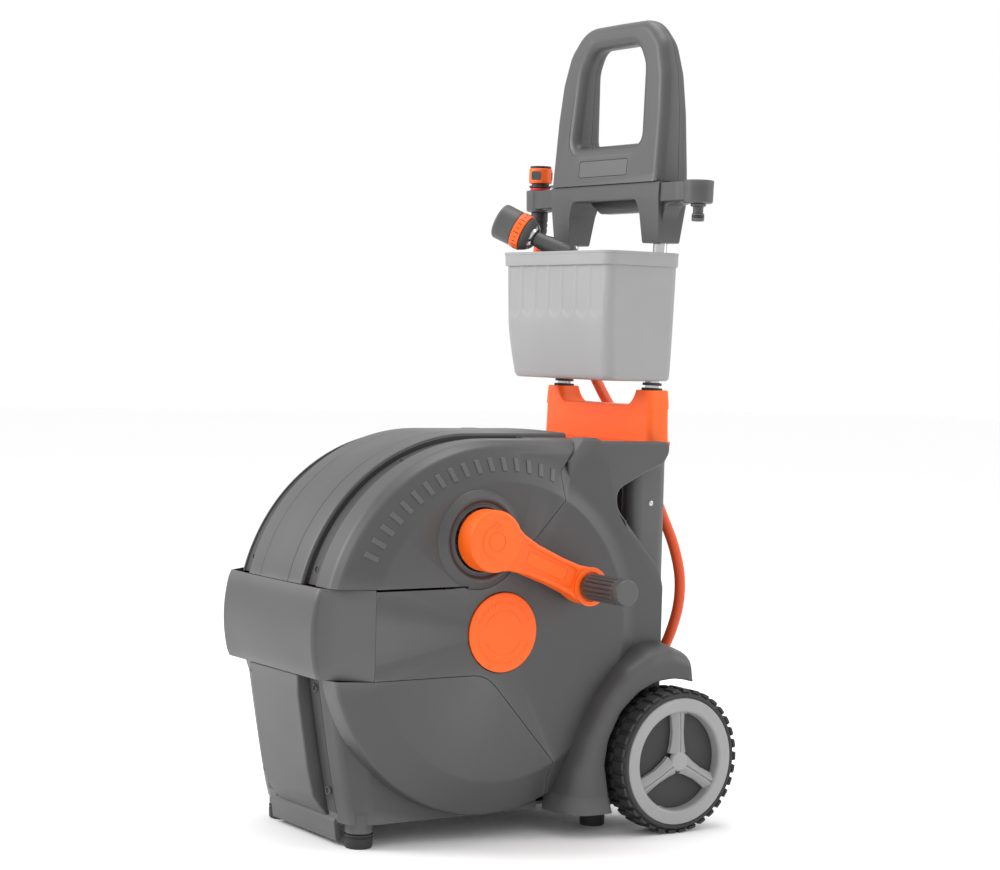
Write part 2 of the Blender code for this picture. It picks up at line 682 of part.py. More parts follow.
def column_tube(side, name, material):
    """Steel tube from inside the column up into the yoke leg."""
    length = (TUBE_Z1 - TUBE_Z0) / cos(TUBE_LEAN)
    outer = [(0, TUBE_R), (length, TUBE_R)]
    tube = turned_rod(name, outer, tube_point(side, TUBE_Z0), tube_axis(), COARSE)
    bore = turned_rod("bore", [(-0.01, TUBE_R - 0.0012), (length + 0.01, TUBE_R - 0.0012)],
                      tube_point(side, TUBE_Z0), tube_axis(), COARSE, cutter=True)
    cut(tube, bore)
    return finish(tube, material)


def bucket_ring(half, front, rear, z, radius, inward=0.0):
    mid = (front + rear) / 2
    return [(x, y, z) for x, y in rounded_rect(0.0, mid, half - inward, (rear - front) / 2 - inward,
                                               max(radius - inward, 0.002), 3)]


def bucket(material):
    """Open tool bucket with a rolled rim, fluted front, and ears reaching round the tubes."""
    floor = BUCKET_FLOOR
    outer = [(0.1098, 0.1795, 0.282, floor, 0.012), (0.1128, 0.1745, 0.282, 0.60, 0.014),
             (0.1165, 0.170, 0.282, 0.640, 0.014), (0.1185, 0.1685, 0.282, RIM_TOP - 0.018, 0.014)]
    rings = [bucket_ring(*row) for row in outer]
    body = loft("bucket", rings)
    rim = loft("rim", [bucket_ring(0.1205, 0.1665, 0.284, RIM_TOP - 0.018, 0.016),
                       bucket_ring(0.1215, 0.1655, 0.284, RIM_TOP, 0.016)])
    union(body, rim)
    inner = [(0.1073, 0.182, 0.243, floor + 0.003, 0.010), (0.1103, 0.177, 0.243, 0.60, 0.011),
             (0.114, 0.1725, 0.243, 0.640, 0.012), (0.116, 0.171, 0.243, RIM_TOP - 0.018, 0.012),
             (0.119, 0.168, 0.243, RIM_TOP + 0.002, 0.012)]
    cut(body, loft("hollow", [bucket_ring(*row) for row in inner], cutter=True))
    back = [(0.1070, 0.2455, 0.32, floor - 0.01, 0.002), (0.1100, 0.2455, 0.32, 0.60, 0.002),
            (0.1136, 0.2455, 0.32, 0.640, 0.002), (0.1156, 0.2455, 0.32, RIM_TOP - 0.018, 0.002),
            (0.117, 0.2455, 0.32, RIM_TOP + 0.01, 0.002)]
    cut(body, loft("back_room", [bucket_ring(*row) for row in back], cutter=True))
    for s in (-1, 1):
        for z in (0.585, 0.690):
            clip = box("clip", (s * TUBE_X - 0.0125, 0.2445, z), (s * TUBE_X + 0.0125,
                                                                  tube_point(s, z)[1] + 0.004, z + 0.012))
            x, y, base = tube_point(s, z - 0.01)
            bore = turned_rod("clip_bore", [(0, TUBE_R + GAP), (0.04, TUBE_R + GAP)], (x, y, base),
                              tube_axis(), COARSE,
                              cutter=True)
            cut(clip, bore)
            union(body, clip)
    for i in range(7):
        x = -0.0915 + 0.0305 * i
        flute = turned_rod("flute", [(0.0, 0.009), (0.004, 0.0105), (0.055, 0.0115), (0.060, 0.0115)],
                           (x, 0.1596, 0.642), (0, -0.02, 1), 10, cutter=True)
        cut(body, flute)
    return finish(body, material)


def yoke(material):
    """Yoke: crossbar, two legs sleeved over the tubes and an arm to each side."""
    z0 = YOKE_BOTTOM
    top = YOKE_TOP
    arch = [(0.081, z0), (0.077, z0 + 0.040), (0.0745, z0 + 0.049), (0.069, z0 + 0.055),
            (0.061, z0 + 0.0575)]
    outline = [(0.1155, z0), (0.1195, top), (-0.1195, top), (-0.1155, z0)]
    outline += [(-x, z) for x, z in arch] + [(x, z) for x, z in reversed(arch)]
    body = prism_y("yoke", outline, GRIP_FRONT + 0.001, GRIP_REAR - 0.002)
    taper = [(0.20, z0 - 0.01), (0.2475, z0 - 0.01), (GRIP_FRONT + 0.003, top - 0.02), (0.20, top - 0.02)]
    cut(body, prism_x("front_taper", taper, -0.2, 0.2, cutter=True))
    rear = [(0.32, z0 - 0.01), (0.2785, z0 - 0.01), (GRIP_REAR - 0.004, top - 0.03), (0.32, top - 0.03)]
    cut(body, prism_x("rear_taper", rear, -0.2, 0.2, cutter=True))
    lip = [(-0.075, 0.796), (-0.062, 0.787), (-0.046, 0.777), (0.046, 0.777), (0.062, 0.787),
           (0.075, 0.796)]
    union(body, prism_y("rear_lip", lip, 0.272, GRIP_REAR - 0.004))
    for s in (-1, 1):
        union(body, box("arm", (s * 0.110, ARM_Y - 0.017, ARM_Z0), (s * ARM_END_X, ARM_Y + 0.017,
                                                                    top - 0.001)))
        cup = turned_rod("cup", [(0, ARM_END_R - 0.001), (top - ARM_Z0, ARM_END_R)],
                         (s * ARM_END_X, ARM_Y, ARM_Z0), (0, 0, 1), 20)
        union(body, cup)
        gusset = [(s * 0.112, 0.768), (s * 0.112, 0.786), (s * 0.150, 0.786), (s * 0.132, 0.781),
                  (s * 0.121, 0.774)]
        union(body, prism_y("gusset", gusset, ARM_Y - 0.012, ARM_Y + 0.012))
        bore = turned_rod("bore", [(0, TUBE_R + GAP), (0.0655, TUBE_R + GAP)], tube_point(s, z0 - 0.005),
                          tube_axis(), COARSE, cutter=True)
        cut(body, bore)
        socket = turned_rod("socket", [(-0.02, 0.0083), (0.06, 0.0083)], (s * ARM_END_X, ARM_Y, ARM_Z0),
                            (0, 0, 1),
                            16, cutter=True)
        cut(body, socket)
    return finish(body, material)


def grip_outline(z_low, half, top, corner):
    """Half-flattened arch outline as (x, z), from the right base over the top to the left base."""
    points = [(half, z_low), (half - 0.0005, 0.900), (half - 0.004, 0.950)]
    points += [(half - 0.009 - corner * 0.92 * (1 - cos(radians(a))),
                top - corner + corner * sin(radians(a)))
               for a in (10, 30, 50, 70, 90)]
    return points + [(-x, z) for x, z in reversed(points)]


def grip_half(name, front, material):
    """One half of the closed grip, split along its middle plane."""
    outline = grip_outline(YOKE_TOP + GAP, GRIP_HALF, GRIP_TOP, 0.055)
    low_y = GRIP_FRONT if front else GRIP_REAR
    mid_y = 0.2715 - GAP / 2 if front else 0.2715 + GAP / 2
    lean = 0.016 if front else -0.010
    depths = ((0.0, 0.006), (0.25, 0.0015), (1.0, 0.0)) if front else ((0.0, 0.006), (0.35, 0.001),
                                                                       (1.0, 0.0))
    rings = []
    for t, shrink in depths:
        ring = []
        for x, z in outline:
            rise = (z - YOKE_TOP) / (GRIP_TOP - YOKE_TOP)
            y = (low_y + lean * rise) * (1 - t) + mid_y * t
            sx = x - shrink * (1 if x > 0 else -1)
            sz = z - shrink if z > 0.96 else z
            ring.append((sx, y, sz))
        rings.append(ring)
    half = loft(name, rings)
    hole = rounded_rect(0.0, 0.9275, HOLE_HALF, 0.0645, 0.024, 4)
    hole = [(x * (1.0 - 0.10 * (z - 0.9275) / 0.0645), z) for x, z in hole]
    cut(half, prism_y("hand_hole", hole, 0.20, 0.33, cutter=True))
    return finish(half, material)


def hose_nipple(material):
    """Hollow stepped nipple under the right arm cup."""
    x = ARM_END_X
    top = YOKE_TOP - 0.010
    steps = [(top, 0.0080), (ARM_Z0 - GAP, 0.0080), (ARM_Z0 - GAP, 0.0096), (ARM_Z0 - 0.003, 0.0096),
             (ARM_Z0 - 0.0035, 0.0064), (ARM_Z0 - 0.012, 0.0064), (ARM_Z0 - 0.0125, 0.008),
             (ARM_Z0 - 0.015, 0.008),
             (ARM_Z0 - 0.0152, 0.0068), (ARM_Z0 - 0.0178, 0.0068), (ARM_Z0 - 0.018, 0.008),
             (ARM_Z0 - 0.022, 0.0074)]
    body = turned_rod("nipple_right", [(z - top, r) for z, r in steps], (x, ARM_Y, top), (0, 0, 1), COARSE)
    cut(body, turned_rod("bore", [(-0.08, 0.0048), (0.02, 0.0048)], (x, ARM_Y, top), (0, 0, 1), COARSE,
                         cutter=True))
    return finish(body, material)


def tail_fitting(material):
    """Barbed hose tail under the left arm cup, hollow right through."""
    x = -ARM_END_X
    top = YOKE_TOP - 0.010
    low = HOSE_END_Z + GAP
    steps = [(top, 0.0080), (ARM_Z0 - GAP, 0.0080), (ARM_Z0 - GAP, 0.0115), (low + 0.004, 0.0115),
             (low, 0.0095)]
    body = turned_rod("hose_tail", [(z - top, r) for z, r in steps], (x, ARM_Y, top), (0, 0, 1), COARSE)
    cut(body, turned_rod("bore", [(-0.08, 0.0045), (0.02, 0.0045)], (x, ARM_Y, top), (0, 0, 1), COARSE,
                         cutter=True))
    return finish(body, material)


def connector(materials):
    """Quick connector parked on the left arm: seat, body and sliding release sleeve."""
    base = (-ARM_END_X, ARM_Y, YOKE_TOP)
    mount = make_empty("connector_seat_axis", base, ROOT)
    seat = turned_rod("connector_seat", [(0.0005, 0.0135), (0.0035, 0.0135)], base, (0, 0, 1), 28)
    cut(seat, turned_rod("bore", [(-0.01, 0.0062), (0.02, 0.0062)], base, (0, 0, 1), 20, cutter=True))
    finish(seat, materials["orange"])
    steps = [(0.0038, 0.0150), (0.0068, 0.0152), (0.0070, 0.0118), (0.0305, 0.0118), (0.0307, 0.0146),
             (0.0335, 0.0142)]
    body = turned_rod("connector_body", steps, base, (0, 0, 1), 28, origin=base)
    cut(body, turned_rod("bore", [(-0.01, 0.0088), (0.05, 0.0088)], base, (0, 0, 1), 20, origin=base,
                         cutter=True))
    finish(body, materials["grey"], mount)
    sleeve = turned_rod("connector_sleeve", [(0.0100, 0.0150), (0.0120, 0.0158), (0.0285, 0.0158),
                                             (0.0302, 0.0150)],
                        base, (0, 0, 1), 28, origin=base)
    cut(sleeve, turned_rod("bore", [(0.0, 0.0121), (0.05, 0.0121)], base, (0, 0, 1), 28, origin=base,
                           cutter=True))
    finish(sleeve, materials["orange"], mount)


# ---------------------------------------------------------------- gears, crank and drum

def involute_gear(name, teeth, x0, x1, centre, bore, turn, origin):
    """Spur gear with involute flanks, thinned by the backlash, about the X axis."""
    pitch = MODULE * teeth / 2
    base = pitch * cos(PRESSURE_ANGLE)
    tip = pitch + MODULE * 0.95
    root = pitch - MODULE * 1.2
    half = (pi * MODULE / 2 - TOOTH_BACKLASH) / 2 / pitch
    spread = tan(PRESSURE_ANGLE) - PRESSURE_ANGLE
    outline = []
    for i in range(teeth):
        middle = turn + 2 * pi * i / teeth
        flank = []
        for k in range(3):
            r = max(base, root) + (tip - max(base, root)) * k / 2
            roll = sqrt(max(0.0, (r / base) ** 2 - 1))
            flank.append((r, half + spread - (roll - atan2(roll, 1))))
        foot = (root, flank[0][1] + 0.012)
        for r, a in [foot] + flank:
            outline.append((r * cos(middle - a), r * sin(middle - a)))
        for r, a in (flank[::-1] + [foot]):
            outline.append((r * cos(middle + a), r * sin(middle + a)))
    y, z = centre
    gear = prism_x(name, [(y + u, z + v) for u, v in outline], x0, x1, origin)
    return cut(gear, rod_x("bore", x0 - 0.01, x1 + 0.01, y, z, bore, 32, origin, cutter=True))


def drum_parts(materials):
    """Hose drum: core with end discs, the drum gear screwed to it, and the wound hose."""
    pivot = (0.0, 0.0, DRUM_Z)
    axis = make_empty("drum_axis", pivot, ROOT)
    core = [(-FLANGE_X, AXLE_R + GAP), (-FLANGE_X, FLANGE_R), (-FLANGE_X + 0.004, FLANGE_R),
            (-FLANGE_X + 0.005, CORE_R), (FLANGE_X - 0.005, CORE_R), (FLANGE_X - 0.004, FLANGE_R),
            (FLANGE_X, FLANGE_R), (FLANGE_X, AXLE_R + GAP), (FLANGE_X - 0.012, AXLE_R + GAP),
            (FLANGE_X - 0.012, CORE_R - 0.004), (-FLANGE_X + 0.012, CORE_R - 0.004), (-FLANGE_X + 0.012,
                                                                                      AXLE_R + GAP)]
    drum = lathe_x("drum", core, 0.0, DRUM_Z, 32, origin=pivot)
    for i in range(3):
        a = 2 * pi * i / 3 + 0.3
        hole = rod_x("window", FLANGE_X - 0.03, FLANGE_X + 0.01, 0.036 * cos(a), DRUM_Z + 0.036 * sin(a),
                     0.012, 12,
                     pivot, cutter=True)
        cut(drum, hole)
    finish(drum, materials["black"], axis)
    coil = [(FLANGE_X - 0.0055, CORE_R + 0.001)]
    turns = 12
    pitch = (2 * FLANGE_X - 0.011) / turns
    for i in range(turns):
        x = FLANGE_X - 0.0055 - pitch * i
        coil += [(x - pitch * 0.02, COIL_R - 0.004), (x - pitch * 0.5, COIL_R)]
    coil += [(-FLANGE_X + 0.0056, COIL_R - 0.004), (-FLANGE_X + 0.0056, CORE_R + 0.001)]
    finish(lathe_x("hose_coil", coil, 0.0, DRUM_Z, MEDIUM, origin=pivot), materials["orange"], axis)
    gear = involute_gear("drum_gear", DRUM_TEETH, GEAR_X0, GEAR_X1, (0.0, DRUM_Z), 0.050, MESH_TURN,
                         pivot)
    web = [(FLANGE_X + GAP, 0.0152), (FLANGE_X + GAP, 0.060), (GEAR_X0 + 0.001, 0.060), (GEAR_X0 + 0.001,
                                                                                         0.0795),
           (GEAR_X0 + 0.005, 0.0795), (GEAR_X0 + 0.005, 0.056), (FLANGE_X + 0.004, 0.056),
           (FLANGE_X + 0.004, 0.0152)]
    union(gear, lathe_x("web", web, 0.0, DRUM_Z, MEDIUM, origin=pivot))
    finish(gear, materials["pale"], axis, 30)


def crank_parts(materials):
    """Crank: pinion on its shaft, orange arm, knob spindle and the free-turning knob."""
    pivot = (0.0, CRANK_Y, CRANK_Z)
    axis = make_empty("crank_axis", pivot, ROOT)
    centre = (CRANK_Y, CRANK_Z)
    pinion = involute_gear("pinion", PINION_TEETH, GEAR_X0 - 0.001, GEAR_X1 + 0.001, centre, 0.0085,
                           PINION_TURN, pivot)
    union(pinion, rod_x("shaft", 0.1040, 0.1645, *centre, 0.0088, MEDIUM, pivot))
    union(pinion, rod_x("collar", GEAR_X1, 0.1505, *centre, 0.016, MEDIUM, pivot))
    finish(pinion, materials["pale"], axis, 30)
    finish(crank_arm(pivot), materials["orange"], axis)
    knob_pivot = (0.1675, CRANK_Y + ARM_DY, CRANK_Z + ARM_DZ)
    spindle = rod_x("knob_spindle", 0.176, KNOB_X1 - 0.012, *knob_pivot[1:], 0.0045, COARSE, pivot)
    union(spindle, rod_x("spindle_head", 0.176, 0.1795, *knob_pivot[1:], 0.0075, COARSE, pivot))
    union(spindle, rod_x("spindle_end", KNOB_X1 - 0.016, KNOB_X1 - 0.012, *knob_pivot[1:], 0.0075, COARSE,
                         pivot))
    finish(spindle, materials["steel"], axis)
    knob_axis = make_empty("knob_axis", (0.0, ARM_DY, ARM_DZ), axis)
    knob_origin = (0.0, CRANK_Y + ARM_DY, CRANK_Z + ARM_DZ)
    built = knob(knob_origin)
    finish(built, materials["grey"])
    built.parent = knob_axis
    built.location = (0.0, 0.0, 0.0)


def crank_arm(pivot):
    """Arm seen from the side: round hub, waisted bar with a raised rim, round end."""
    length = sqrt(ARM_DY ** 2 + ARM_DZ ** 2)
    lean = atan2(ARM_DZ, ARM_DY)
    sections = ((-0.020, HUB_X1, 0.020), (0.010, HUB_X1, 0.030), (0.035, HUB_X1 - 0.001, 0.0205),
                (0.080, HUB_X1 - 0.0015, 0.0165), (length - 0.030, HUB_X1 - 0.002, 0.0175),
                (length - 0.008, HUB_X1 - 0.002, 0.0215))
    rings = []
    for s, face, half in sections:
        back = 0.1665 if s > 0.03 else 0.1650
        low = min(0.003, half / 4)
        ring = []
        for v, x in ((-half, back), (-half, face - low), (-half + low, face), (half - low, face),
                     (half, face - low),
                     (half, back)):
            ring.append((x, CRANK_Y + s * cos(lean) - v * sin(lean),
                         CRANK_Z + s * sin(lean) + v * cos(lean)))
        rings.append(ring)
    arm = loft("crank_arm", rings, pivot)
    hub = [(0.0, HUB_R - 0.001), (HUB_X1 - HUB_X0 - 0.004, HUB_R), (HUB_X1 - HUB_X0 - 0.001,
                                                                    HUB_R - 0.002),
           (HUB_X1 - HUB_X0, HUB_R - 0.004)]
    union(arm, turned_rod("hub", hub, (HUB_X0 + 0.0008, CRANK_Y, CRANK_Z), (1, 0, 0), 28, pivot))
    end = (0.1665, CRANK_Y + ARM_DY, CRANK_Z + ARM_DZ)
    tail = [(0.0, 0.0225), (0.024, 0.0235), (0.0255, 0.0225), (0.0265, 0.0205)]
    union(arm, turned_rod("end", tail, end, (1, 0, 0), MEDIUM, pivot))
    cut(arm, rod_x("shaft_bore", 0.15, 0.1648 + GAP, CRANK_Y, CRANK_Z, 0.0091, MEDIUM, pivot, cutter=True))
    cut(arm, rod_x("spindle_bore", 0.175, 0.20, end[1], end[2], 0.0048, COARSE, pivot, cutter=True))
    cut(arm, rod_x("head_bore", 0.15, 0.1798, end[1], end[2], 0.0078, COARSE, pivot, cutter=True))
    return arm


def knob(origin):
    """Fluted knob, closed at its outer end, hollow for the spindle."""
    y, z = origin[1:]
    x0 = 0.1936
    steps = [(0.0, KNOB_R * 0.95), (0.003, KNOB_R), (KNOB_X1 - x0 - 0.003, KNOB_R * 0.97),
             (KNOB_X1 - x0, KNOB_R * 0.80)]
    body = turned_rod("knob", steps, (x0, y, z), (1, 0, 0), 28, origin)
    for i in range(14):
        a = 2 * pi * i / 14
        flute = rod_x("flute", x0 + 0.006, KNOB_X1 - 0.018, y + (KNOB_R + 0.0004) * cos(a),
                      z + (KNOB_R + 0.0004) * sin(a),
                      0.0016, 6, origin, cutter=True)
        cut(body, flute)
    cut(body, rod_x("bore", x0 - 0.01, KNOB_X1 - 0.017, y, z, 0.0048, COARSE, origin, cutter=True))
    cut(body, rod_x("room", KNOB_X1 - 0.0165, KNOB_X1 - 0.0075, y, z, 0.0078, COARSE, origin, cutter=True))
    cut(body, rod_x("room_neck", KNOB_X1 - 0.0180, KNOB_X1 - 0.0160, y, z, 0.0048, COARSE, origin,
                    cutter=True))
    return body


def drum_axle(material):
    """Fixed hollow axle with the water passage."""
    axle = rod_x("drum_axle", -0.1500, 0.1500, 0.0, DRUM_Z, AXLE_R, MEDIUM)
    cut(axle, rod_x("passage", -0.16, 0.16, 0.0, DRUM_Z, 0.006, 20, cutter=True))
    return finish(axle, material)


def end_cap(side, label, material):
    """Round cap in the dish of a side frame, with a stem gripping the end of the axle."""
    steps = [(0.0, CAP_R - 0.0011), (0.0068, CAP_R - 0.0006), (0.0082, CAP_R - 0.0016),
             (0.0086, CAP_R - 0.0032)]
    cap = turned_rod("cap_" + label, steps, (side * (DISC_X - 0.0060), 0.0, DRUM_Z), (side, 0, 0), 36)
    stem = rod_x("stem", side * (DISC_X - 0.0056), side * (DISC_X - 0.012), 0.0, DRUM_Z, 0.0118, MEDIUM)
    union(cap, stem)
    cut(cap, rod_x("axle_room", side * 0.1, side * 0.1503, 0.0, DRUM_Z, AXLE_R + GAP, MEDIUM, cutter=True))
    return finish(cap, material)


# ---------------------------------------------------------------- wheels and feet

def wheel(side, label, materials):
    """Wheel: treaded tyre, dished pale rim and the three-spoke cover, on one axis."""
    pivot = (side * (TYRE_X0 + TYRE_X1) / 2, WHEEL_Y, WHEEL_R)
    axis = make_empty("wheel_axis_" + label, pivot, ROOT)
    x0, x1 = side * TYRE_X0, side * TYRE_X1
    mid = (x0 + x1) / 2
    tyre = [(x0, 0.079), (x0, WHEEL_R - 0.004), (x0 + side * 0.004, WHEEL_R - 0.0003), (mid, WHEEL_R),
            (x1 - side * 0.004, WHEEL_R - 0.0003), (x1, WHEEL_R - 0.004), (x1, 0.079)]
    body = lathe_x("tyre_" + label, tyre, WHEEL_Y, WHEEL_R, 40, origin=pivot)
    finish(body, materials["rubber"], axis)
    rim = [(x0 + side * 0.001, 0.0787), (x1, 0.0787), (x1 + side * 0.001, 0.077), (x1 + side * 0.001,
                                                                                   0.064),
           (x1 - side * 0.012, 0.060), (x1 - side * 0.012, WHEEL_AXLE_R + GAP), (x0 + side * 0.006,
                                                                                 WHEEL_AXLE_R + GAP),
           (x0 + side * 0.006, 0.016), (x1 - side * 0.016, 0.016), (x1 - side * 0.016, 0.062),
           (x0 + side * 0.001, 0.072)]
    finish(lathe_x("rim_" + label, rim, WHEEL_Y, WHEEL_R, 32, origin=pivot), materials["grey"], axis)
    finish(spoke_cover(side, label, pivot), materials["pale"], axis)


def spoke_cover(side, label, pivot):
    """Three broad ridged spokes joined to a ring, standing in front of the dished rim."""
    face = side * (TYRE_X1 + 0.0008)
    back = side * (TYRE_X1 - 0.0085)
    ring = [(side * (TYRE_X1 - 0.0088), 0.0595), (side * (TYRE_X1 - 0.0018), 0.0624),
            (side * (TYRE_X1 - 0.0052), 0.0566),
            (side * (TYRE_X1 - 0.0108), 0.0566)]
    cover = lathe_x("cover_" + label, ring, WHEEL_Y, WHEEL_R, 32, origin=pivot)
    outline = []
    for i in range(3):
        a = radians(90 + 120 * i)
        for r, turn in ((0.0582, -0.13), (0.0582, 0.13), (0.016, pi / 3)):
            outline.append((WHEEL_Y + r * cos(a + turn), WHEEL_R + r * sin(a + turn)))
    star = prism_x("star", outline, back, face, pivot)
    union(cover, star)
    return cut(cover, rod_x("hub_room", side * 0.19, side * (TYRE_X1 - 0.006), WHEEL_Y, WHEEL_R, 0.0095,
                            24, pivot, cutter=True))


def wheel_axle(material):
    """Steel axle through both columns with a retaining cap on each end."""
    reach = TYRE_X1 - 0.0115
    axle = rod_x("wheel_axle", -reach, reach, WHEEL_Y, WHEEL_R, WHEEL_AXLE_R, MEDIUM)
    for s in (-1, 1):
        union(axle, rod_x("cap", s * (TYRE_X1 - 0.0117), s * (TYRE_X1 - 0.0075), WHEEL_Y, WHEEL_R, 0.0088,
                          24))
    return finish(axle, material)


def feet(material):
    """Four rubber feet, each pressed into its own leg."""
    for label, side in SIDES.items():
        x, y = FOOT_FRONT
        foot = turned_rod("foot_front_" + label, [(0.0, 0.0150), (0.002, 0.0168), (0.0169, 0.0172)],
                          (side * x, y, 0.0), (0, 0, 1), MEDIUM)
        finish(foot, material)
        x, y = FOOT_REAR
        foot = turned_rod("foot_rear_" + label, [(0.0, 0.0140), (0.002, 0.0155), (TUB_FLOOR - GAP,
                                                                                  0.0155)],
                          (side * x, y, 0.0), (0, 0, 1), 20)
        finish(foot, material)


# ---------------------------------------------------------------- spray gun

def spray_gun(materials):
    """Spray gun standing in the bucket: body, selector head and ring, trigger and inlet."""
    mount = make_empty("gun_seat", tuple(GUN_POINT), ROOT)
    origin = tuple(GUN_POINT)
    body = turned_rod("gun_body", [(-0.050, 0.0120), (-0.044, 0.0150), (-0.010, 0.0125), (-0.003, 0.0105),
                                   (0.008, 0.0100)],
                      origin, GUN_AXIS, 18, origin)
    union(body, turned_rod("handle", [(0.0, 0.0130), (0.03, 0.0135), (0.06, 0.0145), (0.098, 0.0130)],
                           GUN_ELBOW, HANDLE_DIR, COARSE, origin))
    finish(body, materials["grey"], mount)
    head = turned_rod("gun_head", [(0.0084, 0.0120), (0.012, 0.0175), (0.0205, 0.0225), (0.0215, 0.0235),
                                   (0.0625, 0.0240), (0.0640, 0.0225)], origin, GUN_AXIS, 22, origin)
    cut(head, turned_rod("mouth", [(0.060, 0.0195), (0.070, 0.0205)], origin, GUN_AXIS, 22, origin,
                         cutter=True))
    cut(head, turned_rod("ring_seat", [(0.0225, 0.030), (0.0365, 0.030)], origin, GUN_AXIS, 22, origin,
                         cutter=True))
    union(head, turned_rod("core", [(0.0220, 0.0205), (0.0370, 0.0205)], origin, GUN_AXIS, 22, origin))
    finish(head, materials["grey"], mount)
    ring = turned_rod("gun_ring", [(0.0228, 0.0235), (0.0235, 0.0244), (0.0355, 0.0246),
                                   (0.0362, 0.0240)], origin,
                      GUN_AXIS, 22, origin)
    cut(ring, turned_rod("bore", [(0.0, 0.0208), (0.06, 0.0208)], origin, GUN_AXIS, 22, origin,
                         cutter=True))
    finish(ring, materials["orange"], mount)
    return mount


def gun_trigger(mount, material):
    """Trigger lever hinged behind the gun body and lying along the handle."""
    stations = ((-0.010, 0.0, 0.0055, 0.0035), (0.010, 0.0035, 0.0065, 0.0035),
                (0.035, 0.006, 0.0065, 0.003), (0.062, 0.008, 0.0055, 0.0025))
    rings = []
    for down, out, half, thick in stations:
        middle = TRIGGER_PIVOT + HANDLE_DIR * down + TRIGGER_OUT * out
        rings.append([tuple(middle + GUN_ACROSS * u * half + TRIGGER_OUT * v * thick)
                      for u, v in ((-1, -1), (1, -1), (1, 1), (-1, 1))])
    lever = loft("gun_trigger", rings, tuple(TRIGGER_PIVOT))
    return finish(lever, material, mount)


def gun_inlet(mount, material):
    """Hose inlet screwed into the bottom of the handle."""
    top = GUN_ELBOW + HANDLE_DIR * 0.0983
    origin = tuple(GUN_POINT)
    inlet = turned_rod("gun_inlet", [(0.0, 0.0125), (0.004, 0.0125), (0.005, 0.0085), (0.020, 0.0080)],
                       top,
                       HANDLE_DIR, 14, origin)
    cut(inlet, turned_rod("bore", [(-0.01, 0.005), (0.03, 0.005)], top, HANDLE_DIR, COARSE, origin,
                          cutter=True))
    return finish(inlet, material, mount)


# ---------------------------------------------------------------- hose

def smooth_route(points, spacing):
    """Catmull-Rom curve through the route, re-spaced evenly along its length."""
    fine = []
    count = len(points)
    for i in range(count - 1):
        p = [Vector(points[max(0, min(count - 1, j))]) for j in range(i - 1, i + 3)]
        for k in range(24):
            t = k / 24
            fine.append(0.5 * (2 * p[1] + (p[2] - p[0]) * t
                               + (2 * p[0] - 5 * p[1] + 4 * p[2] - p[3]) * t ** 2
                               + (3 * p[1] - p[0] - 3 * p[2] + p[3]) * t ** 3))
    fine.append(Vector(points[-1]))
    total = sum((b - a).length for a, b in zip(fine, fine[1:]))
    steps = round(total / spacing)
    found = [fine[0]]
    travelled = 0.0
    for a, b in zip(fine, fine[1:]):
        piece = (b - a).length
        while len(found) < steps and travelled + piece >= total * len(found) / steps:
            found.append(a + (b - a) * (total * len(found) / steps - travelled) / piece)
        travelled += piece
    found.append(fine[-1])
    return found


def free_hose(material):
    """Leader hose from the rear outlet up to the parked connector."""
    curve = bpy.data.curves.new("leader_hose", "CURVE")
    curve.dimensions = "3D"
    curve.bevel_depth = HOSE_R
    curve.bevel_resolution = 2
    curve.use_fill_caps = True
    points = smooth_route(HOSE_ROUTE, 0.034)
    spline = curve.splines.new("POLY")
    spline.points.add(len(points) - 1)
    for slot, point in zip(spline.points, points):
        slot.co = (*point, 1.0)
    curve.materials.append(material)
    hose = bpy.data.objects.new("leader_hose", curve)
    hose.parent = ROOT
    PARTS.objects.link(hose)
    return hose


def hose_outlet(material):
    """Guide ring on the rear panel that the leader hose comes out of."""
    x, y, z = HOSE_ROUTE[0]
    guide = turned_rod("hose_outlet", [(-0.0095, 0.0098), (-0.0029, 0.0098), (-0.0029, 0.0145),
                                       (0.0, 0.0140)],
                       (x, y - GAP, z), (0, 1, 0), COARSE)
    cut(guide, turned_rod("bore", [(-0.02, 0.0062), (0.01, 0.0062)], (x, y, z), (0, 1, 0), COARSE,
                          cutter=True))
    return finish(guide, material)


def build():
    materials = {
        "grey": make_material("grey_plastic", GREY, 0.55),
        "orange": make_material("orange_plastic", ORANGE, 0.42),
        "pale": make_material("pale_plastic", PALE, 0.5),
        "black": make_material("black_plastic", BLACK, 0.6),
        "rubber": make_material("rubber", RUBBER, 0.85),
        "steel": make_material("steel", STEEL, 0.25, 1.0),
        "hose": make_material("hose_rubber", ORANGE, 0.6),
    }
    grey = materials["grey"]
    orange = materials["orange"]
    for label, side in SIDES.items():
        upper_cover(side, "upper_cover_" + label, grey)
        side_frame(side, "side_frame_" + label, grey)
        tub_side(side, "tub_side_" + label, grey)
        column_tube(side, "tube_" + label, materials["steel"])
        wheel(side, label, materials)
        end_cap(side, label, orange)
    hood_crown(grey)
    front_belt(grey)
    tub_front(grey)
    base_tray(grey)
    rear_panel(grey)
    deck_bracket(orange)
    bucket(materials["pale"])
    yoke(grey)
    grip_half("grip_front", True, grey)
    grip_half("grip_rear", False, grey)
    hose_nipple(grey)
    tail_fitting(materials["black"])
    connector(materials)
    drum_parts(materials)
    crank_parts(materials)
    drum_axle(materials["steel"])
    wheel_axle(materials["steel"])
    feet(materials["rubber"])
    gun_seat = spray_gun(materials)
    gun_trigger(gun_seat, orange)
    gun_inlet(gun_seat, materials["black"])
    hose_outlet(materials["black"])
    free_hose(materials["hose"])


clear_scene()
PARTS = make_collection("hose_reel_cart")
CUTTERS = make_collection("cutters")
ROOT = make_empty("root", (ROOT_X, ROOT_Y, 0.0))
build()
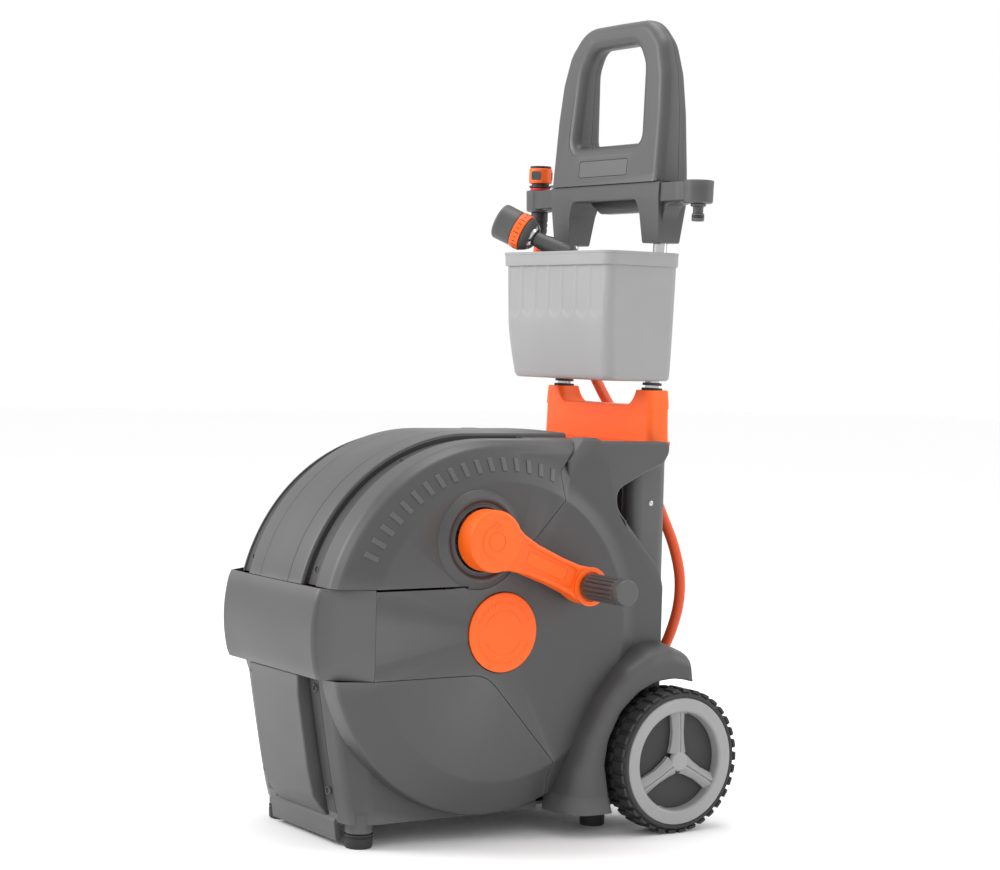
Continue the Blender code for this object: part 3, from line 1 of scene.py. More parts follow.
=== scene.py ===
"""Looks of the hose reel cart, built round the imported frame: shells, trim, hose, materials and studio."""

import json
from math import atan2, cos, exp, pi, radians, sin, sqrt

import bmesh
import bpy
from mathutils import Matrix, Vector

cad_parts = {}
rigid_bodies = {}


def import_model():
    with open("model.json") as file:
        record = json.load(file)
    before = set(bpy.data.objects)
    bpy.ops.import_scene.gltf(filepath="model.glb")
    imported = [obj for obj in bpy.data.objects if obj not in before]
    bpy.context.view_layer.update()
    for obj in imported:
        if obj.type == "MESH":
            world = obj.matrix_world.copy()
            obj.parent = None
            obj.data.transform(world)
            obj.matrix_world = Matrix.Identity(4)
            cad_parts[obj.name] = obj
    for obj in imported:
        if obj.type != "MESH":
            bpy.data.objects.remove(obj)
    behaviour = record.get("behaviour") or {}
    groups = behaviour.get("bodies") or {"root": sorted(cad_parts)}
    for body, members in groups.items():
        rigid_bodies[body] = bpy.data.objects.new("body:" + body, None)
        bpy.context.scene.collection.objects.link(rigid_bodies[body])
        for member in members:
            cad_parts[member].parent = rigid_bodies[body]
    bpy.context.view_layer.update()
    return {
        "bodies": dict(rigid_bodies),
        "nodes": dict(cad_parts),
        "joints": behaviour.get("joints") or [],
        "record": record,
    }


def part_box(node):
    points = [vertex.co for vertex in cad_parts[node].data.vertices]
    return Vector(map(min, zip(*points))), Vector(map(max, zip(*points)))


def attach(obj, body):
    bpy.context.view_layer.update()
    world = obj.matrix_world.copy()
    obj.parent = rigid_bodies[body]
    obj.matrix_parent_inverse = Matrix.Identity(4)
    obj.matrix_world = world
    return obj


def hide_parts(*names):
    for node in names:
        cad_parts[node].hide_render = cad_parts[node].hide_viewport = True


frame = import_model()
JOINT = {joint["name"]: joint for joint in frame["joints"]}

# All shapes are given from the drum axis: X across, Y to the rear, Z up from the floor.
DRUM = Vector(JOINT["drum_spin"]["pos_m"])
SHIFT = Vector((DRUM.x, DRUM.y, 0.0))


def place(joint):
    return Vector(JOINT[joint]["pos_m"]) - SHIFT


def low(node):
    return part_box(node)[0] - SHIFT


def high(node):
    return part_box(node)[1] - SHIFT


GAP = 0.0004
MERGE = 0.00001
SIDES = {"right": 1, "left": -1}
DRUM_Z = DRUM.z
CRANK = place("crank_spin")
KNOB = place("knob_spin")
WHEEL = place("wheel_right_spin")

# ---- body shells ----
WALL = 0.003
DISC_X = high("front_belt").x
DISC_R = 0.181
RING_X = 0.136
RING_R = 0.223
SHOULDER_X = 0.123
SHOULDER_R = 0.2295
GROOVE_OUT_X = 0.091
GROOVE_IN_X = 0.067
GROOVE_R = 0.2265
GROOVE_END_Y = 0.071
LIP_R = 0.2300
CROWN_R = 0.2355
REAR_X = 0.1395
BELT_TOP = high("front_belt").z + 0.0003
BELT_BOTTOM = low("front_belt").z - 0.0003
BELT_SIDE_Y = high("front_belt").y
BELT_HALF = 0.115
BELT_FRONT = -0.230
FRAME_X = 0.142
FRAME_IN_X = 0.118
FRAME_TOP = high("side_frame_right").z
FENDER_X = high("side_frame_right").x
TUB_X = 0.115
TUB_FLOOR = low("base_tray").z
DECK_FRONT_Y = low("deck_bracket").y
DECK_TOP = 0.4830
CAP_R = 0.0485
LEFT_RING_R = 0.2030
LEFT_SHOULDER_R = 0.2140

# ---- screws: angle and radius on the hood, height and depth on the tub ----
GROOVE_MID = (GROOVE_IN_X + GROOVE_OUT_X) / 2
LAST_SCREW = 69.0
UPPER_SCREWS = ((160.5, GROOVE_R), (116.8, GROOVE_R), (LAST_SCREW, GROOVE_R / sin(radians(LAST_SCREW))))
LOWER_SCREWS = ((0.1915, -0.2125), (0.0678, -0.1915))
SCREW_HOLE_R = 0.0036

# ---- wheels and feet ----
TYRE_X0 = low("tyre_right").x
TYRE_X1 = high("tyre_right").x
AXLE_HOLE_R = 0.0064
WHEEL_ROOM_R = 0.0935
LUGS = 34
FRONT_FOOT = (0.0955, -0.158)
REAR_FOOT = (0.112, 0.172)

# ---- handle column ----
TUBE_X = 0.0975
TUBE_Y = 0.257
TUBE_R = 0.009
TUBE_LEAN = radians(2.0)
COLLAR_TOP = high("deck_bracket").z
RIM_TOP = high("bucket").z
BUCKET_FLOOR = low("bucket").z
YOKE_TOP = high("yoke").z
YOKE_BOTTOM = low("yoke").z
GRIP_TOP = high("grip_front").z
GRIP_HALF = high("grip_front").x
GRIP_FRONT = low("grip_front").y
GRIP_REAR = high("grip_rear").y
ARM_END_X = 0.175
ARM_END_R = 0.019
ARM_Y = 0.262
ARM_Z0 = 0.783
COLUMN_Y = 0.2475
COLUMN_SCREW_Z = 0.4045
BUCKET_BEND = 0.633

# ---- free hose ----
HOSE_R = 0.007
HOSE_END_Z = 0.7520
HOSE_ROUTE = [(0.020, 0.2290, 0.150), (0.020, 0.2470, 0.150), (0.0205, 0.2650, 0.150),
              (0.034, 0.285, 0.158), (0.056, 0.302, 0.183), (0.076, 0.311, 0.222),
              (0.083, 0.321, 0.265), (0.083, 0.3225, 0.305), (0.078, 0.315, 0.345),
              (0.067, 0.303, 0.385), (0.050, 0.2945, 0.425), (0.026, 0.2900, 0.462),
              (-0.006, 0.2890, 0.496), (-0.042, 0.2900, 0.527), (-0.078, 0.2935, 0.560),
              (-0.112, 0.2965, 0.596), (-0.142, 0.2950, 0.636), (-0.163, 0.2860, 0.675),
              (-0.1735, 0.2690, 0.700), (-0.1750, 0.2622, 0.718), (-0.1750, 0.2620, 0.734),
              (-0.1750, 0.2620, HOSE_END_Z)]

# ---- directions ----
X_AXIS = (1, 0, 0)
Y_AXIS = (0, 1, 0)
Z_AXIS = (0, 0, 1)


# ---------------------------------------------------------------- mesh helpers

def link(built):
    bpy.context.scene.collection.objects.link(built)
    return built


def clean(built):
    """Merges doubled points, removes collapsed edges and turns the faces outwards."""
    shape = bmesh.new()
    shape.from_mesh(built.data)
    bmesh.ops.remove_doubles(shape, verts=shape.verts, dist=MERGE)
    bmesh.ops.dissolve_degenerate(shape, dist=0.000005, edges=shape.edges)
    bmesh.ops.recalc_face_normals(shape, faces=shape.faces)
    shape.to_mesh(built.data)
    shape.free()
    return built


def mesh_object(name, verts, faces):
    mesh = bpy.data.meshes.new(name)
    mesh.from_pydata([tuple(v) for v in verts], [], faces)
    mesh.validate()
    return clean(link(bpy.data.objects.new(name, mesh)))


def from_shape(name, shape):
    mesh = bpy.data.meshes.new(name)
    shape.to_mesh(mesh)
    shape.free()
    return link(bpy.data.objects.new(name, mesh))


def loft(name, rings):
    """Joins sections of equal point counts, capped at both ends."""
    count = len(rings[0])
    verts = [p for ring in rings for p in ring]
    faces = []
    for i in range(len(rings) - 1):
        a = i * count
        b = a + count
        for k in range(count):
            n = (k + 1) % count
            faces.append((a + k, a + n, b + n, b + k))
    faces.append(tuple(range(count))[::-1])
    faces.append(tuple((len(rings) - 1) * count + k for k in range(count)))
    return mesh_object(name, verts, faces)


def baked(source):
    """The object's evaluated mesh as a plain object of the same name."""
    graph = bpy.context.evaluated_depsgraph_get()
    graph.update()
    mesh = bpy.data.meshes.new_from_object(source.evaluated_get(graph))
    name = source.name
    world = source.matrix_world.copy()
    bpy.data.objects.remove(source, do_unlink=True)
    built = link(bpy.data.objects.new(name, mesh))
    built.data.transform(world)
    return clean(built)


def softened(built, width, segments=3, angle=30):
    """Rounds the edges that are sharper than an angle."""
    bevel = built.modifiers.new("soft", "BEVEL")
    bevel.width = width
    bevel.segments = segments
    bevel.limit_method = "ANGLE"
    bevel.angle_limit = radians(angle)
    bevel.use_clamp_overlap = True
    return baked(built)


def axes_matrix(first, second, third, middle):
    turn = Matrix((first, second, third)).transposed().to_4x4()
    return Matrix.Translation(middle) @ turn


def prism(name, outline, depth, turn):
    shape = bmesh.new()
    bottom = [shape.verts.new((u, v, -depth / 2)) for u, v in outline]
    face = shape.faces.new(bottom)
    grown = bmesh.ops.extrude_face_region(shape, geom=[face])
    moved = [item for item in grown["geom"] if isinstance(item, bmesh.types.BMVert)]
    bmesh.ops.translate(shape, verts=moved, vec=(0, 0, depth))
    shape.transform(turn)
    return clean(from_shape(name, shape))


def prism_x(name, outline, x0, x1):
    """An outline of (y, z) points extruded from x0 to x1."""
    turn = axes_matrix(Y_AXIS, Z_AXIS, X_AXIS, ((x0 + x1) / 2, 0, 0))
    return prism(name, outline, abs(x1 - x0), turn)


def prism_y(name, outline, y0, y1):
    """An outline of (x, z) points extruded from y0 to y1."""
    turn = axes_matrix(X_AXIS, Z_AXIS, (0, -1, 0), (0, (y0 + y1) / 2, 0))
    return prism(name, outline, abs(y1 - y0), turn)


def prism_z(name, outline, z0, z1):
    """An outline of (x, y) points extruded from z0 to z1."""
    turn = axes_matrix(X_AXIS, Y_AXIS, Z_AXIS, (0, 0, (z0 + z1) / 2))
    return prism(name, outline, abs(z1 - z0), turn)


def box(name, lowest, highest):
    shape = bmesh.new()
    bmesh.ops.create_cube(shape, size=1.0)
    size = [abs(b - a) for a, b in zip(lowest, highest)]
    middle = [(a + b) / 2 for a, b in zip(lowest, highest)]
    shape.transform(Matrix.Translation(middle) @ Matrix.Diagonal((*size, 1.0)))
    return from_shape(name, shape)


def screwed(name, points, closed, turn, segments):
    """A (radius, height) profile turned about its own Z, then put in place."""
    mesh = bpy.data.meshes.new(name)
    edges = [(i, i + 1) for i in range(len(points) - 1)]
    if closed:
        edges.append((len(points) - 1, 0))
    mesh.from_pydata([(r, 0.0, h) for r, h in points], edges, [])
    source = link(bpy.data.objects.new(name, mesh))
    screw = source.modifiers.new("turn", "SCREW")
    screw.steps = segments
    screw.render_steps = segments
    screw.use_merge_vertices = True
    screw.merge_threshold = MERGE
    built = baked(source)
    built.data.transform(turn)
    return clean(built)


def ring_x(name, profile, y, z, segments=96):
    """A closed (x, radius) profile turned about the X axis through (y, z)."""
    turn = axes_matrix(Y_AXIS, Z_AXIS, X_AXIS, (0, y, z))
    return screwed(name, [(r, x) for x, r in profile], True, turn, segments)


def turned_rod(name, stations, centre, axis, segments=48):
    """A solid turned from (distance, radius) stations along an axis from a centre point."""
    axis = Vector(axis).normalized()
    side = axis.orthogonal().normalized()
    turn = axes_matrix(side, axis.cross(side), axis, centre)
    points = [(0.0, stations[0][0])] + [(r, d) for d, r in stations] + [(0.0, stations[-1][0])]
    return screwed(name, points, False, turn, segments)


def rod(name, radius, start, end, centre, axis, segments=32):
    """A plain rod between two distances along an axis from a centre point."""
    return turned_rod(name, [(start, radius), (end, radius)], centre, axis, segments)


def boolean(target, tool, operation):
    step = target.modifiers.new("step", "BOOLEAN")
    step.object = tool
    step.operation = operation
    step.solver = "EXACT"
    built = baked(target)
    bpy.data.objects.remove(tool, do_unlink=True)
    return built


def union(target, *tools):
    for tool in tools:
        target = boolean(target, tool, "UNION")
    return target


def cut(target, *tools):
    for tool in tools:
        target = boolean(target, tool, "DIFFERENCE")
    return target


def keep(target, tool):
    return boolean(target, tool, "INTERSECT")


def joined(name, parts):
    """Several closed bodies in one mesh, without merging them."""
    shape = bmesh.new()
    for part in parts:
        shape.from_mesh(part.data)
        bpy.data.objects.remove(part, do_unlink=True)
    return from_shape(name, shape)


def spun(built, count, centre, start=0.0):
    """Copies a body round the X axis through a centre, into one mesh."""
    shape = bmesh.new()
    for i in range(count):
        angle = start + 2 * pi * i / count
        turn = Matrix.Translation(centre) @ Matrix.Rotation(angle, 4,
                                                            X_AXIS) @ Matrix.Translation(-Vector(centre))
        copy = built.data.copy()
        copy.transform(turn)
        shape.from_mesh(copy)
        bpy.data.meshes.remove(copy)
    shape.to_mesh(built.data)
    shape.free()
    return built


# ---------------------------------------------------------------- outline helpers

def rounded(points, radii, steps=5, closed=True):
    """Replaces each corner of an outline by an arc-like curve of about the given radius."""
    found = []
    count = len(points)
    for i, point in enumerate(points):
        radius = radii[i] if isinstance(radii, (list, tuple)) else radii
        here = Vector(point)
        if radius == 0 or (not closed and i in (0, count - 1)):
            found.append(tuple(here))
            continue
        before = Vector(points[i - 1]) - here
        after = Vector(points[(i + 1) % count]) - here
        bend = pi - before.angle(after)
        reach = min(radius * abs(sin(bend / 2) / max(cos(bend / 2), 0.01)), 0.48 * before.length,
                    0.48 * after.length)
        start = here + before.normalized() * reach
        end = here + after.normalized() * reach
        for k in range(steps + 1):
            t = k / steps
            found.append(tuple(start * (1 - t) ** 2 + here * 2 * t * (1 - t) + end * t ** 2))
    return found


def arc(cy, cz, radius, start, end, count):
    found = []
    for i in range(count + 1):
        a = radians(start + (end - start) * i / count)
        found.append((cy + radius * cos(a), cz + radius * sin(a)))
    return found


def inset(outline, distance):
    """Moves each side of a simple outline inwards by a distance."""
    area = 0
    for i, (ax, ay) in enumerate(outline):
        bx, by = outline[(i + 1) % len(outline)]
        area += ax * by - bx * ay
    turn = 1 if area > 0 else -1
    found = []
    for i, (px, py) in enumerate(outline):
        ax, ay = outline[i - 1]
        bx, by = outline[(i + 1) % len(outline)]
        first = Vector((px - ax, py - ay)).normalized()
        second = Vector((bx - px, by - py)).normalized()
        n1 = Vector((-first.y, first.x)) * turn
        n2 = Vector((-second.y, second.x)) * turn
        mid = (n1 + n2).normalized()
        reach = distance / max(0.4, mid.dot(n1))
        found.append((px + mid.x * reach, py + mid.y * reach))
    return found


def rounded_rect(cx, cy, hx, hy, radius, steps=8):
    found = []
    for sx, sy, start in ((1, 1, 0), (-1, 1, 90), (-1, -1, 180), (1, -1, 270)):
        for i in range(steps + 1):
            a = radians(start + 90 * i / steps)
            found.append((cx + sx * (hx - radius) + radius * cos(a),
                          cy + sy * (hy - radius) + radius * sin(a)))
    return found


def mirrored(points, side):
    return [(p[0] * side, *p[1:]) for p in points]


def domed(name, outline, start, end, radius, across, steps=6):
    """An outline lofted from start to end along X ("x") or Y ("y") with its far edge rounded over."""
    direction = 1 if end > start else -1
    stack = [(start, 0.0)]
    for i in range(steps + 1):
        a = 0.5 * pi * i / steps
        stack.append((end - direction * radius * (1 - sin(a)), radius * (1 - cos(a))))
    rings = []
    for height, shrink in stack:
        flat = inset(outline, shrink) if shrink else outline
        if across == "x":
            rings.append([(height, u, v) for u, v in flat])
        else:
            rings.append([(u, height, v) for u, v in flat])
    return loft(name, rings)


# ---------------------------------------------------------------- materials

def node(tree, kind, **values):
    made = tree.nodes.new("ShaderNode" + kind)
    for key, value in values.items():
        if key in made.inputs:
            made.inputs[key].default_value = value
        else:
            setattr(made, key, value)
    return made


def mapped(tree, source, low_out, high_out, low_in=0.3, high_in=0.7):
    ranged = node(tree, "MapRange")
    for key, value in (("From Min", low_in), ("From Max", high_in), ("To Min", low_out),
                       ("To Max", high_out)):
        ranged.inputs[key].default_value = value
    tree.links.new(source, ranged.inputs["Value"])
    return ranged.outputs["Result"]


def surface(name, colour, roughness, grain=0.12, grain_scale=1100.0, mottle=0.05, edge=0.0,
            metallic=0.0, spread=0.06):
    """A Principled surface with cast grain, slow colour drift, uneven gloss and painted edge highlights."""
    mat = bpy.data.materials.new(name)
    mat.use_nodes = True
    tree = mat.node_tree
    shader = tree.nodes["Principled BSDF"]
    shader.inputs["Metallic"].default_value = metallic
    coords = node(tree, "TexCoord").outputs["Object"]
    slow = node(tree, "TexNoise", Scale=11.0, Detail=4.0)
    fine = node(tree, "TexNoise", Scale=grain_scale, Detail=2.0)
    for texture in (slow, fine):
        tree.links.new(coords, texture.inputs["Vector"])
    drift = mapped(tree, slow.outputs["Fac"], 1 - mottle, 1 + mottle)
    # Painted highlight: pointiness lightens the colour along sharp edges, standing in for light caught on
    # rounded edges; drift then carries it too.
    if edge:
        point = node(tree, "NewGeometry").outputs["Pointiness"]
        rim = mapped(tree, point, 1.0, 1.0 + edge, 0.505, 0.56)
        product = node(tree, "Math", operation="MULTIPLY")
        tree.links.new(drift, product.inputs[0])
        tree.links.new(rim, product.inputs[1])
        drift = product.outputs["Value"]
    tint = node(tree, "VectorMath", operation="SCALE")
    tint.inputs[0].default_value = colour
    tree.links.new(drift, tint.inputs["Scale"])
    tree.links.new(tint.outputs["Vector"], shader.inputs["Base Color"])
    tree.links.new(mapped(tree, slow.outputs["Fac"], roughness - spread, roughness + spread),
                   shader.inputs["Roughness"])
    bump = node(tree, "Bump", Strength=grain, Distance=0.0002)
    tree.links.new(fine.outputs["Fac"], bump.inputs["Height"])
    tree.links.new(bump.outputs["Normal"], shader.inputs["Normal"])
    mat.diffuse_color = (*colour, 1.0)
    return mat


def knurled(name, colour):
    """Dark plastic with crossed fine ribs."""
    mat = surface(name, colour, 0.55)
    tree = mat.node_tree
    bump = [n for n in tree.nodes if n.bl_idname == "ShaderNodeBump"][0]
    checks = node(tree, "TexVoronoi", Scale=900.0)
    tree.links.new(node(tree, "TexCoord").outputs["Object"], checks.inputs["Vector"])
    tree.links.new(checks.outputs["Distance"], bump.inputs["Height"])
    bump.inputs["Strength"].default_value = 0.7
    bump.inputs["Distance"].default_value = 0.0008
    return mat


# Painted highlight: edge=0.55 lightens the sharp edges of the grey plastic.
GREY = surface("grey_plastic", (0.056, 0.056, 0.0565), 0.46, edge=0.55)
# Painted shade: dark grey for strips laid in the screw grooves, standing in for the shadow in those recesses.
GROOVE_PAINTED_SHADE = surface("groove_painted_shade", (0.030, 0.030, 0.031), 0.50)
# Painted highlight: edge=0.05 faintly lightens the sharp edges of the orange plastic.
ORANGE = surface("orange_plastic", (0.90, 0.115, 0.0008), 0.50, grain=0.05, mottle=0.03, edge=0.05)
PALE = surface("pale_plastic", (0.30, 0.30, 0.304), 0.46, grain=0.08, mottle=0.03)
BLACK = surface("black_plastic", (0.020, 0.020, 0.021), 0.55)
DARK = surface("dark_dish", (0.028, 0.028, 0.029), 0.6)
RUBBER = surface("foot_rubber", (0.022, 0.022, 0.022), 0.72, grain=0.3, grain_scale=600.0)
TYRE = surface("tyre_rubber", (0.020, 0.020, 0.021), 0.62, grain=0.35, grain_scale=700.0, mottle=0.15)
STEEL = surface("bright_steel", (0.50, 0.50, 0.51), 0.16, grain=0.02, mottle=0.02, metallic=1.0, spread=0.04)
HOSE = surface("hose_skin", (0.72, 0.075, 0.010), 0.48, grain=0.10, grain_scale=500.0, mottle=0.05)
RED = surface("red_seal", (0.75, 0.02, 0.012), 0.45)
KNURL = knurled("knurled_window", (0.035, 0.035, 0.036))


def done(built, material, body="cart", nodes=(), angle=35):
    """Last step of a piece: smooth shading, material, place, body and replaced nodes."""
    built.data.materials.clear()
    built.data.materials.append(material)
    for face in built.data.polygons:
        face.use_smooth = True
    built.data.set_sharp_from_angle(angle=radians(angle))
    weighted = built.modifiers.new("normals", "WEIGHTED_NORMAL")
    weighted.keep_sharp = True
    weighted.weight = 100
    built.location = SHIFT
    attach(built, body)
    if nodes:
        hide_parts(*nodes)
    return built


# ---------------------------------------------------------------- camera and the free hose

def smooth_route(points, spacing):
    """Catmull-Rom curve through the route, re-spaced evenly along its length."""
    fine = []
    count = len(points)
    for i in range(count - 1):
        p = [Vector(points[max(0, min(count - 1, j))]) for j in range(i - 1, i + 3)]
        for k in range(24):
            t = k / 24
            fine.append(0.5 * (2 * p[1] + (p[2] - p[0]) * t + (2 * p[0] - 5 * p[1] + 4 * p[2] - p[3]) * t ** 2
                               + (3 * p[1] - p[0] - 3 * p[2] + p[3]) * t ** 3))
    fine.append(Vector(points[-1]))
    total = sum((b - a).length for a, b in zip(fine, fine[1:]))
    steps = round(total / spacing)
    found = [fine[0]]
    travelled = 0.0
    for a, b in zip(fine, fine[1:]):
        piece = (b - a).length
        while len(found) < steps and travelled + piece >= total * len(found) / steps:
            found.append(a + (b - a) * (total * len(found) / steps - travelled) / piece)
        travelled += piece
    found.append(fine[-1])
    return found, total


def free_hose():
    """Orange leader hose from the rear outlet up to the fitting under the left arm."""
    curve = bpy.data.curves.new("leader", "CURVE")
    curve.dimensions = "3D"
    curve.bevel_depth = HOSE_R
    curve.bevel_resolution = 6
    curve.use_fill_caps = True
    points, length = smooth_route(HOSE_ROUTE, 0.006)
    spline = curve.splines.new("POLY")
    spline.points.add(len(points) - 1)
    for knot, point in zip(spline.points, points):
        knot.co = (*point, 1.0)
    spline.use_smooth = True
    curve.materials.append(HOSE)
    hose = link(bpy.data.objects.new("leader", curve))
    hose.location = SHIFT
    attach(hose, "cart")
    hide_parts("leader_hose")
    return hose, length


def camera():
    """Long lens at the right front, a little above the middle, with the slight roll of the picture."""
    azimuth = radians(56.51)
    elevation = radians(2.36)
    roll = radians(1.58)
    distance = 2.9412
    target = SHIFT + Vector((0.0, 0.0911, 0.4856))
    back = Vector((sin(azimuth) * cos(elevation), -cos(azimuth) * cos(elevation), sin(elevation)))
    right = Vector((cos(azimuth), sin(azimuth), 0.0))
    up = back.cross(right)
    right, up = right * cos(roll) + up * sin(roll), up * cos(roll) - right * sin(roll)
    lens = bpy.data.cameras.new("camera")
    lens.lens = 83.13
    lens.sensor_width = 36.0
    eye = link(bpy.data.objects.new("camera", lens))
    eye.matrix_world = axes_matrix(right, up, back, target + back * distance)
    bpy.context.scene.camera = eye


def lamp(name, spot, aim, size, power):
    light = bpy.data.lights.new(name, "AREA")
    light.shape = "RECTANGLE"
    light.size, light.size_y = size
    light.energy = power
    lamp_object = link(bpy.data.objects.new(name, light))
    lamp_object.location = spot
    lamp_object.rotation_euler = (Vector(aim) - Vector(spot)).to_track_quat("-Z", "Y").to_euler()


def studio():
    """Pale floor, pale surroundings and three large soft lights."""
    scene = bpy.context.scene
    scene.view_settings.view_transform = "Standard"
    world = bpy.data.worlds.new("studio")
    world.use_nodes = True
    world.node_tree.nodes["Background"].inputs["Color"].default_value = (1.0, 1.0, 1.0, 1.0)
    world.node_tree.nodes["Background"].inputs["Strength"].default_value = 1.0
    scene.world = world
    shape = bmesh.new()
    bmesh.ops.create_grid(shape, x_segments=1, y_segments=1, size=14.0)
    floor = from_shape("floor", shape)
    floor.data.materials.append(surface("pale_floor", (0.985, 0.985, 0.985), 0.8, grain=0.0, mottle=0.002))
    lamp("key", (-1.5, -2.6, 2.0), (0.0, 0.0, 0.5), (1.4, 1.4), 70.0)
    lamp("top", (-0.2, 0.3, 2.9), (0.0, 0.0, 0.4), (1.4, 1.4), 30.0)
    lamp("rear", (1.6, 2.6, 1.5), (0.0, 0.2, 0.6), (0.8, 1.6), 14.0)


camera()
studio()
LEADER, LEADER_LENGTH = free_hose()


# ---------------------------------------------------------------- hood and covers

def seam_upper():
    """Lower and rear outline of the upper side cover, as (y, z)."""
    lower = [(-0.30, BELT_TOP - 0.002), (-0.075, BELT_TOP - 0.002)]
    around = arc(CRANK.y, CRANK.z, 0.0605, 250, 340, 12)
    rear = [(0.045, 0.368), (0.087, 0.413), (0.088, 0.446), (0.125, 0.494)]
    return lower + around + rear


def seam_lower():
    points = [(-0.30, BELT_BOTTOM), (-0.021, BELT_BOTTOM), (0.079, 0.094), (0.076, 0.072), (0.084, 0.035),
              (0.084, -0.02)]
    return rounded(points, [0, 0.045, 0.004, 0.004, 0.004, 0])


def upper_region(name, grow):
    return prism_x(name, inset(seam_upper() + [(0.125, 0.60), (-0.30, 0.60)], -grow), -0.20, 0.20)


def lower_region(name, grow):
    return prism_x(name, inset(seam_lower() + [(-0.30, -0.02)], -grow), -0.20, 0.20)


def ring_radius(side):
    """Outer radius of the sloped ring; the side without gears is slimmer."""
    return RING_R if side > 0 else LEFT_RING_R


def hood_half(name, side, skin):
    """Solid of one hood side: turned front, disc and ring, and the shoulder carried straight back."""
    ring_r = ring_radius(side)
    shoulder_r = SHOULDER_R if side > 0 else LEFT_SHOULDER_R
    turned_profile = [(GROOVE_IN_X, 0.02), (GROOVE_IN_X, GROOVE_R - skin),
                      (GROOVE_OUT_X + skin, GROOVE_R - skin), (GROOVE_OUT_X + 0.0008 + skin, LIP_R - skin),
                      (SHOULDER_X - skin * 0.3, shoulder_r - skin),
                      (RING_X - skin * 0.8, ring_r - skin * 0.8),
                      (DISC_X - skin, DISC_R - skin * 0.3), (DISC_X - skin, 0.02)]
    profile = rounded(turned_profile, [0, 0, 0.001, 0.0025, 0.016, 0.010, 0.012, 0], 6)
    body = ring_x(name, mirrored(profile, side), 0.0, DRUM_Z, 144)
    flat = [(GROOVE_IN_X, 0.30), (GROOVE_IN_X, DRUM_Z + GROOVE_R - skin),
            (GROOVE_OUT_X + skin, DRUM_Z + GROOVE_R - skin),
            (GROOVE_OUT_X + 0.0008 + skin, DRUM_Z + LIP_R - skin),
            (SHOULDER_X - skin * 0.3, DRUM_Z + shoulder_r - skin),
            (REAR_X - skin, DRUM_Z + shoulder_r - 0.0125 - skin),
            (REAR_X - skin, 0.30)]
    outline = rounded(flat, [0, 0, 0.001, 0.0025, 0.020, 0.010, 0], 6)
    straight = prism_y(name + "_straight", mirrored(outline, side), 0.001, 0.16)
    return union(body, straight)


def upper_screw_spots(side):
    """Angle, place and outward direction of each screw in the upper groove."""
    found = []
    for angle, radius in UPPER_SCREWS:
        turn = radians(angle)
        out = (0, cos(turn), sin(turn)) if angle > 90 else Z_AXIS
        found.append((angle, (side * GROOVE_MID, radius * cos(turn), DRUM_Z + radius * sin(turn)), out))
    return found


def belt_room(rise):
    """Block that trims a hood piece where it meets the belt."""
    return box("belt_room", (-0.2, -0.3, 0.1), (0.2, -0.05, BELT_TOP + rise))


def upper_cover(label, side):
    """Side cover over the drum's upper half, with crank boss, screw groove and a ring of raised dashes."""
    cover = hood_half("cover", side, 0.0)
    fill = [(GROOVE_END_Y, DRUM_Z + GROOVE_R - 0.002), (GROOVE_END_Y + 0.007, DRUM_Z + LIP_R),
            (0.16, DRUM_Z + LIP_R), (0.16, DRUM_Z + GROOVE_R - 0.002)]
    cover = union(cover, prism_x("groove_end", fill, side * GROOVE_IN_X, side * (GROOVE_OUT_X + 0.004)))
    cover = cut(cover, hood_half("hollow", side, WALL))
    cover = union(cover, crank_boss(side))
    bore = 0.0378 if side > 0 else 0.012
    cover = cut(cover, rod("bore", bore, -0.2, 0.2, (0, CRANK.y, CRANK.z), X_AXIS, 64))
    region = upper_region("region", -GAP)
    inner_x = FRAME_IN_X - GAP
    region = union(region, box("inner", (-inner_x, 0.06, 0.44), (inner_x, DECK_FRONT_Y - GAP, 0.60)))
    cover = keep(cover, region)
    cover = cut(cover, belt_room(GAP))
    for angle, spot, out in upper_screw_spots(side):
        cover = cut(cover, rod("hole", SCREW_HOLE_R, -0.01, 0.01, spot, out, 20))
        screw("screw_upper_%s_%d" % (label, angle), spot, out)
    done(cover, GREY, nodes=["upper_cover_" + label]).name = "hood_side_" + label
    raised_dashes(label, side)
    groove_floor(label, side)


def groove_floor(label, side):
    """Painted shade in the upper screw groove: dark strips on its floor and the flank of the raised band,
    standing in for the shadow there.
    """
    low_x, high_x = GROOVE_IN_X - 0.0001, GROOVE_OUT_X + 0.0002
    section = [(low_x, GROOVE_R + 0.0002), (low_x, CROWN_R - 0.0030), (low_x + 0.0006, CROWN_R - 0.0034),
               (low_x + 0.0006, GROOVE_R + 0.0006), (high_x, GROOVE_R + 0.0006), (high_x, GROOVE_R + 0.0002)]
    rings = []
    for i in range(49):
        turn = radians(165.5 + (90 - 165.5) * i / 48)
        rings.append([(side * x, r * cos(turn), DRUM_Z + r * sin(turn)) for x, r in section])
    rings.append([(side * x, GROOVE_END_Y - 0.0005, DRUM_Z + r) for x, r in section])
    strip = loft("groove_floor_" + label, rings)
    strip = cut(strip, belt_room(2 * GAP))
    for _, spot, out in upper_screw_spots(side):
        strip = cut(strip, rod("hole", SCREW_HOLE_R + GAP, -0.01, 0.01, spot, out, 20))
    done(strip, GROOVE_PAINTED_SHADE)


def crank_boss(side):
    base = DISC_X
    ridge = [(base - 0.0015, 0.0355), (base + 0.0072, 0.0385), (base + 0.0072, 0.0405),
             (base + 0.0050, 0.0425),
             (base + 0.0050, 0.0440), (base + 0.0080, 0.0475), (base + 0.0078, 0.0505),
             (base + 0.0008, 0.0590),
             (base - 0.0015, 0.0600)]
    profile = rounded(ridge, [0, 0.002, 0.002, 0.003, 0.003, 0.004, 0.005, 0.006, 0], 5)
    return ring_x("boss", mirrored(profile, side), CRANK.y, CRANK.z, 96)


